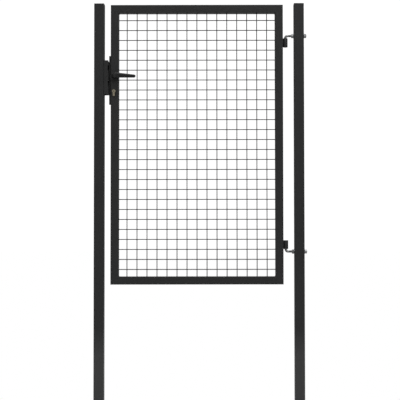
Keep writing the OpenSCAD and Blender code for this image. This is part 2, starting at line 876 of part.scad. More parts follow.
latch_post();
hinge_post();
post_caps();
upper_gudgeon();
lower_gudgeon();
gudgeon_nuts();
gudgeon_washers();
keeper_channel();
keeper_strike();
keeper_bolts();
top_rail();
bottom_rail();
hinge_stile();
latch_stile();
mesh_vertical_wires();
mesh_horizontal_wires();
upper_hinge_barrel();
lower_hinge_barrel();
lock_pad();
forend();
forend_screws();
lock_case();
lock_case_lid();
case_rivets();
rose_bases();
rose_covers();
rose_bushes();
rose_screws();
return_springs();
cylinder_body();
cylinder_screw();
latch_spring();
front_lever();
rear_knob();
lever_screws();
spindle();
follower();
latch_bolt();
deadbolt();
front_plug();
rear_plug();
cylinder_cam();
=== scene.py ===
"""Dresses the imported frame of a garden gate: powder coated tube and mesh, zinc plated
hinge bolts, a black moulded lever set and a nickelled profile cylinder.

Everything is in metres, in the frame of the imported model: +Z up, +X from the latch post
to the hinge post, -Y towards the side that the leaf opens to.
"""

import json
import logging
import math
from collections.abc import Callable, Sequence
from dataclasses import dataclass, field
from enum import Enum

import bpy
from mathutils import Matrix, Vector

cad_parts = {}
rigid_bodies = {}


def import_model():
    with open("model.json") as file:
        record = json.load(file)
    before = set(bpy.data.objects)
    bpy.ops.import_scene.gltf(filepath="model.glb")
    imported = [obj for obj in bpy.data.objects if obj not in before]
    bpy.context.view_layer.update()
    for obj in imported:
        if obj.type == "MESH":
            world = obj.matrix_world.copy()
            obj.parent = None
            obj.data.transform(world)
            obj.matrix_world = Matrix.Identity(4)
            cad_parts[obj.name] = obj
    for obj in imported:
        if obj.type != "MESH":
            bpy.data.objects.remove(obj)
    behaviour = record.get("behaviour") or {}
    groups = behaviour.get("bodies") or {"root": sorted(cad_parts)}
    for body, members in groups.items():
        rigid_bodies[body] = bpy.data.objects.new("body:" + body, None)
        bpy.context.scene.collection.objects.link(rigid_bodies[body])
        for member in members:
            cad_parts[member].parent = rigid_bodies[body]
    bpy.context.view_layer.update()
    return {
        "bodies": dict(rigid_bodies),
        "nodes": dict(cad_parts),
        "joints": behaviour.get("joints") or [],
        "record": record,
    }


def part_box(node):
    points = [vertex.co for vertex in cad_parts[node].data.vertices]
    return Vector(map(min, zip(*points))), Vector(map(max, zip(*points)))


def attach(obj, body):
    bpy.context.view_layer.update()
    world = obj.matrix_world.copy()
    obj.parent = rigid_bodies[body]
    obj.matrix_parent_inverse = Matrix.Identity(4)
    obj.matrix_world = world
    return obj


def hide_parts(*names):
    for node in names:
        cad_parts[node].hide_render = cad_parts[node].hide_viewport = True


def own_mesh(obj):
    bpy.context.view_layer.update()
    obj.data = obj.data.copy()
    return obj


LOG = logging.getLogger("garden_gate")
MM = 0.001
# radius at which a turned profile closes on its axis
AXIS_R = 0.01 * MM

Profile = Sequence[tuple[float, float]]
Ring = list[Vector]


class Face(Enum):
    """A side of the leaf; the value is the sign of its outward direction along Y."""

    FRONT = -1
    REAR = 1


class Slot(Enum):
    """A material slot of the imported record."""

    COAT = "coated_steel"
    ZINC = "zinc_plate"
    STEEL = "lock_steel"
    MOULDED = "black_polyamide"
    BUSH = "black_acetal"
    NICKEL = "nickel_brass"


# ---- Finishes ----


@dataclass
class NodeTree:
    """A material's node tree with short ways to add and join nodes."""

    material: bpy.types.Material

    @classmethod
    def start(cls, name: str) -> "NodeTree":
        """Make an empty material that keeps its shader and output.

        Args:
            name: the material's name.

        Returns:
            The tree, with its shader ready in `shader`.
        """
        material = bpy.data.materials.new(name)
        material.use_nodes = True
        return cls(material)

    @property
    def shader(self) -> bpy.types.ShaderNode:
        """The material's principled shader."""
        return self.material.node_tree.nodes["Principled BSDF"]

    def add(self, kind: str, **inputs: object) -> bpy.types.ShaderNode:
        """Add a node and set its inputs by name.

        Args:
            kind: the node's Blender type.
            inputs: socket names, with underscores for spaces, and their values.

        Returns:
            The new node.
        """
        node = self.material.node_tree.nodes.new(kind)
        for socket, value in inputs.items():
            node.inputs[socket.replace("_", " ")].default_value = value
        return node

    def join(self, source: bpy.types.NodeSocket, target: bpy.types.NodeSocket) -> None:
        """Link an output socket to an input socket."""
        self.material.node_tree.links.new(source, target)

    def place(self) -> bpy.types.NodeSocket:
        """The position on the object, in metres, that the patterns are laid on."""
        return self.add("ShaderNodeTexCoord").outputs["Object"]

    def noise(self, size: float, detail: float = 2.0, rough: float = 0.5,
              stretch: tuple[float, float, float] = (1.0, 1.0, 1.0)) -> bpy.types.NodeSocket:
        """Add a noise pattern.

        Args:
            size: the size of a blotch, in metres.
            detail: how many finer layers it has.
            rough: how strong the finer layers are.
            stretch: scale of the pattern along each axis; under 1 draws it out.

        Returns:
            The pattern's factor socket.
        """
        mapping = self.add("ShaderNodeMapping", Scale=stretch)
        self.join(self.place(), mapping.inputs["Vector"])
        noise = self.add("ShaderNodeTexNoise", Scale=1.0 / size, Detail=detail, Roughness=rough)
        self.join(mapping.outputs["Vector"], noise.inputs["Vector"])
        return noise.outputs["Factor"] if "Factor" in noise.outputs else noise.outputs["Fac"]

    def spread(self, source: bpy.types.NodeSocket, low: float, high: float) -> bpy.types.NodeSocket:
        """Map a pattern's middle range to low..high.

        Args:
            source: the pattern's socket.
            low: the value at the range's lower end.
            high: the value at its upper end.

        Returns:
            The mapped value's socket.
        """
        node = self.add("ShaderNodeMapRange", From_Min=0.3, From_Max=0.7, To_Min=low, To_Max=high)
        self.join(source, node.inputs["Value"])
        return node.outputs["Result"]

    def height(self, low: float, high: float) -> bpy.types.NodeSocket:
        """Map the height on the object from low..high to 1..0.

        Args:
            low: the height in metres that gives 1.
            high: the height in metres that gives 0.

        Returns:
            The mapped value's socket.
        """
        split = self.add("ShaderNodeSeparateXYZ")
        self.join(self.place(), split.inputs["Vector"])
        node = self.add("ShaderNodeMapRange", From_Min=low, From_Max=high, To_Min=1.0, To_Max=0.0)
        self.join(split.outputs["Z"], node.inputs["Value"])
        return node.outputs["Result"]

    def blend(self, factor: bpy.types.NodeSocket, dark: Sequence[float],
              light: Sequence[float],
              under: bpy.types.NodeSocket | None = None) -> bpy.types.NodeSocket:
        """Blend two colours by a pattern.

        Args:
            factor: the pattern; 0 gives the dark colour and 1 the light one.
            dark: the first colour.
            light: the second colour.
            under: a colour socket that takes the first colour's place, if there is one.

        Returns:
            The blended colour's socket.
        """
        node = self.add("ShaderNodeMix")
        node.data_type = "RGBA"
        colours = [s for s in node.inputs if s.type == "RGBA"]
        colours[0].default_value = (*dark, 1.0)
        colours[1].default_value = (*light, 1.0)
        if under is not None:
            self.join(under, colours[0])
        self.join(factor, node.inputs["Factor"])
        return next(s for s in node.outputs if s.type == "RGBA")

    def bump(self, layers: Sequence[tuple[bpy.types.NodeSocket, float, float]]) -> None:
        """Stack bump layers on the shader's normal.

        Args:
            layers: for each layer its pattern, its strength and its depth in metres.
        """
        normal = None
        for pattern, strength, depth in layers:
            node = self.add("ShaderNodeBump", Strength=strength, Distance=depth)
            self.join(pattern, node.inputs["Height"])
            if normal is not None:
                self.join(normal, node.inputs["Normal"])
            normal = node.outputs["Normal"]
        if normal is not None:
            self.join(normal, self.shader.inputs["Normal"])


@dataclass(frozen=True)
class PowderCoat:
    """Satin powder coat: fine orange peel over a dark grey pigment with faint blotches, and where asked a
    painted lift of light near the floor that stands in for light bounced up from it.
    """

    name: str = "powder_coat"
    tone: tuple[float, float, float] = (0.0147, 0.0149, 0.0152)
    spread: float = 0.12
    roughness: tuple[float, float] = (0.42, 0.52)
    peel: float = 0.0016
    peel_depth: float = 0.00010
    blotch: float = 0.16
    # painted light: how much lighter the coat is painted near the floor, standing in for light bounced up
    # from it, and the two heights over which that lift fades out
    floor_bounce_lift: float = 0.0
    floor_bounce_heights: tuple[float, float] = (0.24, 0.38)

    def build(self) -> bpy.types.Material:
        """Make the material.

        Returns:
            The finished material.
        """
        tree = NodeTree.start(self.name)
        cloud = tree.noise(self.blotch, 4.0, 0.6)
        dark = [c * (1.0 - self.spread) for c in self.tone]
        light = [c * (1.0 + self.spread) for c in self.tone]
        pigment = tree.blend(tree.spread(cloud, 0.0, 1.0), dark, light)
        # Painted light: the coat is painted lighter low down, fading out between the two heights, standing
        # in for light bounced up from the floor.
        if self.floor_bounce_lift > 0.0:
            bounce_lit = [c + self.floor_bounce_lift for c in self.tone]
            pigment = tree.blend(tree.height(*self.floor_bounce_heights), self.tone, bounce_lit, pigment)
        tree.join(pigment, tree.shader.inputs["Base Color"])
        fine = tree.noise(0.012, 3.0, 0.6)
        tree.join(tree.spread(fine, *self.roughness), tree.shader.inputs["Roughness"])
        peel = tree.noise(self.peel, 2.0, 0.55)
        grit = tree.noise(self.peel / 5.0, 1.0, 0.5)
        tree.bump([(peel, 0.35, self.peel_depth), (grit, 0.15, self.peel_depth / 3.0)])
        return tree.material


@dataclass(frozen=True)
class ZincPlate:
    """Zinc plate: a soft grey metal with a faintly crystalline bloom."""

    name: str = "zinc_plate"
    pale: tuple[float, float, float] = (0.40, 0.405, 0.41)
    deep: tuple[float, float, float] = (0.24, 0.245, 0.25)
    roughness: tuple[float, float] = (0.26, 0.42)

    def build(self) -> bpy.types.Material:
        """Make the material.

        Returns:
            The finished material.
        """
        tree = NodeTree.start(self.name)
        tree.shader.inputs["Metallic"].default_value = 1.0
        cloud = tree.noise(0.009, 5.0, 0.65)
        tree.join(tree.blend(tree.spread(cloud, 0.0, 1.0), self.deep, self.pale),
                  tree.shader.inputs["Base Color"])
        bloom = tree.noise(0.004, 3.0, 0.6)
        tree.join(tree.spread(bloom, *self.roughness), tree.shader.inputs["Roughness"])
        tree.bump([(tree.noise(0.0009, 2.0, 0.6), 0.2, 0.00004)])
        return tree.material


@dataclass(frozen=True)
class BrightSteel:
    """Bright pressed or milled steel with fine lengthwise tool marks."""

    name: str = "bright_steel"
    pale: tuple[float, float, float] = (0.58, 0.58, 0.57)
    deep: tuple[float, float, float] = (0.40, 0.40, 0.40)
    roughness: tuple[float, float] = (0.24, 0.38)
    draw: tuple[float, float, float] = (1.0, 1.0, 0.08)

    def build(self) -> bpy.types.Material:
        """Make the material.

        Returns:
            The finished material.
        """
        tree = NodeTree.start(self.name)
        tree.shader.inputs["Metallic"].default_value = 1.0
        cloud = tree.noise(0.02, 4.0, 0.6)
        tree.join(tree.blend(tree.spread(cloud, 0.0, 1.0), self.deep, self.pale),
                  tree.shader.inputs["Base Color"])
        marks = tree.noise(0.0006, 2.0, 0.6, self.draw)
        tree.join(tree.spread(marks, *self.roughness), tree.shader.inputs["Roughness"])
        tree.bump([(marks, 0.25, 0.00003)])
        return tree.material


@dataclass(frozen=True)
class MouldedPlastic:
    """Black glass-filled polyamide: a fine spark-eroded grain that is polished where hands rub."""

    name: str = "moulded_black"
    tone: tuple[float, float, float] = (0.0045, 0.0045, 0.0048)
    roughness: tuple[float, float] = (0.34, 0.46)
    grain: float = 0.0006
    grain_depth: float = 0.00006

    def build(self) -> bpy.types.Material:
        """Make the material.

        Returns:
            The finished material.
        """
        tree = NodeTree.start(self.name)
        cloud = tree.noise(0.03, 3.0, 0.6)
        light = [c * 1.35 for c in self.tone]
        tree.join(tree.blend(tree.spread(cloud, 0.0, 1.0), self.tone, light),
                  tree.shader.inputs["Base Color"])
        rub = tree.noise(0.018, 3.0, 0.6)
        tree.join(tree.spread(rub, *self.roughness), tree.shader.inputs["Roughness"])
        tree.bump([(tree.noise(self.grain, 2.0, 0.6), 0.3, self.grain_depth)])
        return tree.material


@dataclass(frozen=True)
class SatinNickel:
    """Matt nickel over brass: turned and brushed, warm where it thins."""

    name: str = "satin_nickel"
    pale: tuple[float, float, float] = (0.70, 0.64, 0.50)
    deep: tuple[float, float, float] = (0.44, 0.38, 0.26)
    roughness: tuple[float, float] = (0.24, 0.36)

    def build(self) -> bpy.types.Material:
        """Make the material.

        Returns:
            The finished material.
        """
        tree = NodeTree.start(self.name)
        tree.shader.inputs["Metallic"].default_value = 1.0
        cloud = tree.noise(0.006, 4.0, 0.6)
        tree.join(tree.blend(tree.spread(cloud, 0.0, 1.0), self.deep, self.pale),
                  tree.shader.inputs["Base Color"])
        marks = tree.noise(0.0004, 2.0, 0.6, (0.1, 1.0, 1.0))
        tree.join(tree.spread(marks, *self.roughness), tree.shader.inputs["Roughness"])
        tree.bump([(marks, 0.2, 0.00002)])
        return tree.material


@dataclass(frozen=True)
class StudioWhite:
    """The pale floor under the gate."""

    name: str = "studio_white"
    tone: float = 0.5
    seen: float = 1.0

    def build(self) -> bpy.types.Material:
        """Make the material.

        Returns:
            The finished material.
        """
        tree = NodeTree.start(self.name)
        tree.shader.inputs["Base Color"].default_value = (self.tone, self.tone, self.tone, 1.0)
        tree.shader.inputs["Roughness"].default_value = 0.9
        seen = tree.add("ShaderNodeEmission", Strength=self.seen)
        mix = tree.add("ShaderNodeMixShader")
        ray = tree.add("ShaderNodeLightPath")
        tree.join(ray.outputs["Is Camera Ray"], mix.inputs[0])
        tree.join(tree.shader.outputs["BSDF"], mix.inputs[1])
        tree.join(seen.outputs["Emission"], mix.inputs[2])
        tree.join(mix.outputs[0], tree.material.node_tree.nodes["Material Output"].inputs["Surface"])
        return tree.material


@dataclass
class Palette:
    """The built finishes, one for each of the record's slots, and variants of the coat."""

    coat: bpy.types.Material = field(init=False)
    post: bpy.types.Material = field(init=False)
    weld: bpy.types.Material = field(init=False)
    wire: bpy.types.Material = field(init=False)
    by_slot: dict[Slot, bpy.types.Material] = field(init=False)

    def __post_init__(self) -> None:
        """Build every finish once."""
        self.coat = PowderCoat().build()
        # The posts' coat is painted lighter near the floor, standing in for light bounced up from it.
        self.post = PowderCoat(name="coated_post", floor_bounce_lift=0.030).build()
        self.weld = PowderCoat(name="coated_weld", peel=0.0011, peel_depth=0.0002).build()
        self.wire = PowderCoat(name="coated_wire", peel=0.0012, peel_depth=0.00007).build()
        self.by_slot = {
            Slot.COAT: self.coat,
            Slot.ZINC: ZincPlate().build(),
            Slot.STEEL: BrightSteel().build(),
            Slot.MOULDED: MouldedPlastic().build(),
            Slot.BUSH: MouldedPlastic(name="acetal_black", grain=0.002).build(),
            Slot.NICKEL: SatinNickel().build(),
        }


# ---- Meshes ----


@dataclass
class Shape:
    """Vertices and faces gathered for one piece."""

    points: list[Vector] = field(default_factory=list)
    faces: list[tuple[int, ...]] = field(default_factory=list)

    def loft(self, rings: Sequence[Ring], cap: bool = True, loop: bool = False) -> "Shape":
        """Join rings of equal length with quads.

        Args:
            rings: the rings in order along the form.
            cap: close both ends with a face.
            loop: join the last ring back to the first instead.

        Returns:
            This shape, so that calls can follow each other.
        """
        base = len(self.points)
        count = len(rings[0])
        for ring in rings:
            self.points.extend(ring)
        spans = len(rings) if loop else len(rings) - 1
        for i in range(spans):
            here = base + i * count
            there = base + (i + 1) % len(rings) * count
            for k in range(count):
                n = (k + 1) % count
                self.faces.append((here + k, here + n, there + n, there + k))
        if cap and not loop:
            last = base + (len(rings) - 1) * count
            self.faces.append(tuple(base + k for k in reversed(range(count))))
            self.faces.append(tuple(last + k for k in range(count)))
        return self

    def turn(self, profile: Profile, place: Matrix, steps: int = 48,
             loop: bool = True, reach: Callable[[float, float], float] | None = None) -> "Shape":
        """Turn a profile of (radius, height) pairs about the local Z axis.

        Args:
            profile: the outline, running up the outside of the form.
            place: where the local frame stands.
            steps: points round the axis.
            loop: whether the outline closes on itself, as a bored piece's does.
            reach: changes a radius by its angle, as a hexagon does.

        Returns:
            This shape.
        """
        rows = list(reversed(profile)) if place.determinant() < 0 else profile
        rings = []
        for radius, height in rows:
            ring = []
            for k in range(steps):
                angle = math.tau * k / steps
                r = reach(radius, angle) if reach else radius
                ring.append(place @ Vector((r * math.cos(angle), r * math.sin(angle), height)))
            rings.append(ring)
        return self.loft(rings, cap=not loop, loop=loop)

    def make(self, name: str, body: str, slot: Slot, material: bpy.types.Material,
             replaces: Sequence[str] = (), sharp: float = 35.0) -> bpy.types.Object:
        """Turn the gathered faces into a piece of the gate.

        Args:
            name: the piece's name.
            body: the body that it rides on.
            slot: the record's slot that its finish belongs to; not used.
            material: its finish.
            replaces: the frame nodes that it stands for.
            sharp: the angle in degrees from which an edge shades as a corner.

        Returns:
            The new object.
        """
        mesh = bpy.data.meshes.new(name)
        mesh.from_pydata(self.points, [], self.faces)
        mesh.validate()
        mesh.update()
        mesh.polygons.foreach_set("use_smooth", [True] * len(mesh.polygons))
        mesh.set_sharp_from_angle(angle=math.radians(sharp))
        piece = bpy.data.objects.new(name, mesh)
        bpy.context.scene.collection.objects.link(piece)
        mesh.materials.append(material)
        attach(piece, body)
        if replaces:
            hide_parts(*replaces)
        return piece


def circle(centre: Vector, across: Vector, up: Vector, radius: float, steps: int) -> Ring:
    """Points round a circle in the plane of two unit vectors."""
    return [centre + across * radius * math.cos(math.tau * k / steps)
            + up * radius * math.sin(math.tau * k / steps) for k in range(steps)]


def rounded_square(width: float, edge_r: float, height: float, corner_steps: int = 6) -> Ring:
    """Points round a square with round corners, at one height.

    Args:
        width: side of the square.
        edge_r: radius of its corners.
        height: Z of the ring.
        corner_steps: points at each corner.

    Returns:
        The ring, anticlockwise.
    """
    ring = []
    inset = width / 2 - edge_r
    for corner in range(4):
        sx = 1 if corner in (0, 3) else -1
        sy = 1 if corner in (0, 1) else -1
        for k in range(corner_steps):
            angle = math.pi / 2 * (corner + k / (corner_steps - 1))
            ring.append(Vector((sx * inset + edge_r * math.cos(angle),
                                sy * inset + edge_r * math.sin(angle), height)))
    return ring


def bead_rings(path: Sequence[Vector], radius: float, ripple: float = 0.14,
               steps: int = 10) -> list[Ring]:
    """Rings of a weld bead along a path, rippled as it was laid and drawn in at both ends.

    Args:
        path: points about a millimetre apart.
        radius: the bead's radius.
        ripple: depth of the ripples as a share of the radius.
        steps: points round the bead.

    Returns:
        The rings in order.
    """
    rings = []
    last = len(path) - 1
    for i, point in enumerate(path):
        ahead = path[min(i + 1, last)] - path[max(i - 1, 0)]
        tangent = ahead.normalized()
        across = tangent.orthogonal().normalized()
        up = tangent.cross(across)
        end = min(i, last - i)
        taper = math.sqrt(min(1.0, (end + 0.25) / 2.5))
        wave = 1.0 + ripple * math.sin(i * 2.1)
        rings.append(circle(point, across, up, radius * taper * wave, steps))
    return rings


def straight(start: Vector, end: Vector, step: float = 1.0 * MM) -> list[Vector]:
    """Points along a line, about a step apart."""
    count = max(2, round((end - start).length / step) + 1)
    return [start.lerp(end, i / (count - 1)) for i in range(count)]


def dress(node: bpy.types.Object, material: bpy.types.Material, bevel: float = 0.0) -> None:
    """Give a frame node its finish and, where asked, broken edges.

    Args:
        node: the frame node's object.
        material: its finish.
        bevel: width of the broken edges in metres; 0 leaves them as they are.
    """
    node.data.materials.clear()
    node.data.materials.append(material)
    if bevel > 0.0:
        edge = node.modifiers.new("broken_edges", "BEVEL")
        edge.width = bevel
        edge.segments = 2
        edge.limit_method = "ANGLE"
        edge.angle_limit = math.radians(40.0)
        edge.harden_normals = False


def middle(node: str) -> Vector:
    """The middle of a frame node's box."""
    low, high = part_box(node)
    return (low + high) / 2


def hexagon(flats: float) -> Callable[[float, float], float]:
    """Make a reach function that trims a turned form to a hexagon.

    Args:
        flats: the hexagon's width over its flats.

    Returns:
        A function of a radius and an angle that gives the trimmed radius.
    """
    def reach(radius: float, angle: float) -> float:
        """Trim a radius at an angle."""
        off = (angle + math.pi / 6) % (math.pi / 3) - math.pi / 6
        return min(radius, flats / 2 / math.cos(off))
    return reach


# ---- Sub-assemblies ----


@dataclass
class Posts:
    """Two square posts with their caps."""

    nodes: dict[str, bpy.types.Object]
    palette: Palette
    body: str = "posts"
    width: float = 50.0 * MM
    edge_r: float = 4.0 * MM
    cap_h: float = 3.0 * MM
    cap_bevel: float = 1.5 * MM
    crown: float = 0.25 * MM
    spigot_w: float = 45.8 * MM
    spigot_wall: float = 1.5 * MM
    spigot_r: float = 2.0 * MM
    spigot_bore_r: float = 1.0 * MM
    rim_draft: float = 0.3 * MM
    rim_rise: float = 0.15 * MM

    def build(self) -> None:
        """Coat the posts and mould their caps."""
        for name in ("latch_post", "hinge_post"):
            dress(self.nodes[name], self.palette.post)
        self.caps()

    def caps(self) -> None:
        """Make both caps, softly bevelled and a little crowned, with their spigots."""
        low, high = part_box("post_caps")
        shape = Shape()
        for x in (low.x + self.width / 2, high.x - self.width / 2):
            self.cap(shape, Vector((x, 0.0, high.z - self.cap_h)), low.z)
        shape.make("post_cap_pair", self.body, Slot.COAT, self.palette.coat, ["post_caps"])

    def cap(self, shape: Shape, foot: Vector, spigot_z: float) -> None:
        """Add one cap.

        Args:
            shape: the mesh that it joins.
            foot: the middle of the cap's underside.
            spigot_z: height of the spigot's lower end.
        """
        rings = [rounded_square(self.width - self.rim_draft, self.edge_r, 0.0)]
        rings.append(rounded_square(self.width, self.edge_r, self.rim_rise))
        start = self.cap_h - self.cap_bevel
        for k in range(6):
            angle = math.pi / 2 * k / 5
            inset = self.cap_bevel * (1.0 - math.cos(angle))
            rise = start + (self.cap_bevel - self.crown) * math.sin(angle)
            rings.append(rounded_square(self.width - 2 * inset, self.edge_r - inset * 0.6, rise))
        for share in (0.66, 0.33, 0.08):
            side = (self.width - 2 * self.cap_bevel) * share
            rise = self.cap_h - self.crown * share * share
            rings.append(rounded_square(side, self.edge_r * share, rise))
        shape.loft([[foot + p for p in ring] for ring in rings])
        depth = spigot_z - foot.z
        inner = self.spigot_w - 2 * self.spigot_wall
        walls = [rounded_square(self.spigot_w, self.spigot_r, 0.0),
                 rounded_square(self.spigot_w, self.spigot_r, depth),
                 rounded_square(inner, self.spigot_bore_r, depth),
                 rounded_square(inner, self.spigot_bore_r, 0.0)]
        shape.loft([[foot + p for p in ring] for ring in reversed(walls)], loop=True)


@dataclass
class Leaf:
    """The leaf's frame of mitred tube, its welded mesh and the welds that hold them."""

    nodes: dict[str, bpy.types.Object]
    palette: Palette
    body: str = "leaf"
    tube: float = 40.0 * MM
    wire_d: float = 4.4 * MM
    mitre_bead_r: float = 2.2 * MM
    mitre_proud: float = 0.35 * MM
    mitre_inset: float = 3.0 * MM
    corner_bead_r: float = 2.4 * MM
    pool_r: float = 3.7 * MM
    pool_h: float = 2.6 * MM
    pool_lift: float = 0.15 * MM

    def build(self) -> None:
        """Coat the tubes and the wires and lay the welds."""
        for name in ("top_rail", "bottom_rail", "hinge_stile", "latch_stile"):
            dress(self.nodes[name], self.palette.coat)
        for name in ("mesh_vertical_wires", "mesh_horizontal_wires"):
            dress(self.nodes[name], self.palette.wire)
        self.frame_welds()
        self.wire_end_welds()
        self.crossing_welds()

    def corners(self) -> list[tuple[Vector, int, int]]:
        """The frame's outer corners in the middle plane.

        Returns:
            Each corner with the signs of X and Z that lead to its inside.
        """
        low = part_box("bottom_rail")[0]
        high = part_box("top_rail")[1]
        return [(Vector((x, 0.0, z)), sx, sz)
                for x, sx in ((low.x, 1), (high.x, -1)) for z, sz in ((low.z, 1), (high.z, -1))]

    def frame_welds(self) -> None:
        """Lay the dressed bead along each mitre, and the fillet in each inner corner."""
        shape = Shape()
        edge = self.mitre_inset
        for corner, sx, sz in self.corners():
            inner = corner + Vector((sx * self.tube, 0.0, sz * self.tube))
            for side in Face:
                y = side.value * (self.tube / 2 - self.mitre_bead_r + self.mitre_proud)
                a = corner + Vector((sx * edge, y, sz * edge))
                b = inner + Vector((-sx * edge, y, -sz * edge))
                shape.loft(bead_rings(straight(a, b), self.mitre_bead_r, 0.05))
            reach = self.tube / 2 - edge
            start = inner + Vector((0.0, -reach, 0.0))
            shape.loft(bead_rings(straight(start, start + Vector((0.0, 2 * reach, 0.0))),
                                  self.corner_bead_r))
        shape.make("frame_corner_welds", self.body, Slot.COAT, self.palette.weld)

    def pool(self, shape: Shape, foot: Vector, out: Vector) -> None:
        """Add the pool of weld where a wire meets a tube.

        Args:
            shape: the mesh that it joins.
            foot: the wire's end on the tube.
            out: the unit vector along the wire, away from the tube.
        """
        place = Matrix.Translation(foot) @ out.to_track_quat("Z", "Y").to_matrix().to_4x4()
        wire_r = self.wire_d / 2
        profile = [(self.pool_r, -0.2 * MM)]
        for k in range(5):
            angle = math.pi / 2 * k / 4
            radius = wire_r * 0.98 + (self.pool_r - wire_r) * (1.0 - math.sin(angle))
            profile.append((radius, self.pool_h * (1.0 - math.cos(angle)) + self.pool_lift))
        shape.turn(profile, place, 14, loop=False)

    def wire_places(self) -> tuple[list[float], list[float], float, float]:
        """Find the wires.

        Returns:
            Middles of the upright wires along X and of the level wires along Z, and their Y.
        """
        xs = self.centres("mesh_vertical_wires", 0)
        zs = self.centres("mesh_horizontal_wires", 2)
        return xs, zs, middle("mesh_vertical_wires").y, middle("mesh_horizontal_wires").y

    def centres(self, node: str, axis: int) -> list[float]:
        """Middle of each wire of a node across its length.

        Args:
            node: the node that holds the wires.
            axis: the axis that the wires are spaced along.

        Returns:
            The middles, in order.
        """
        values = sorted({round(v.co[axis], 5) for v in self.nodes[node].data.vertices})
        groups: list[list[float]] = []
        for value in values:
            if groups and value - groups[-1][0] < 2 * self.wire_d:
                groups[-1].append(value)
            else:
                groups.append([value])
        return [(group[0] + group[-1]) / 2 for group in groups]

    def wire_end_welds(self) -> None:
        """Pool weld at both ends of every wire."""
        xs, zs, y_up, y_level = self.wire_places()
        low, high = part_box("mesh_vertical_wires")
        left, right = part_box("mesh_horizontal_wires")
        shape = Shape()
        for x in xs:
            self.pool(shape, Vector((x, y_up, low.z)), Vector((0.0, 0.0, 1.0)))
            self.pool(shape, Vector((x, y_up, high.z)), Vector((0.0, 0.0, -1.0)))
        for z in zs:
            self.pool(shape, Vector((left.x, y_level, z)), Vector((1.0, 0.0, 0.0)))
            self.pool(shape, Vector((right.x, y_level, z)), Vector((-1.0, 0.0, 0.0)))
        shape.make("wire_end_welds", self.body, Slot.COAT, self.palette.weld)

    def crossing_welds(self) -> None:
        """Press a flat nugget between the wires at every crossing."""
        xs, zs, y_up, y_level = self.wire_places()
        shape = Shape()
        y = (y_up + y_level) / 2
        half = self.wire_d * 0.36
        profile = [(half * math.cos(a), 0.42 * half * math.sin(a))
                   for a in (-1.2, -0.6, 0.0, 0.6, 1.2)]
        for x in xs:
            for z in zs:
                place = Matrix.Translation((x, y, z)) @ Matrix.Rotation(math.pi / 2, 4, "X")
                shape.turn(profile, place, 10, loop=False)
        shape.make("wire_crossing_welds", self.body, Slot.COAT, self.palette.weld)


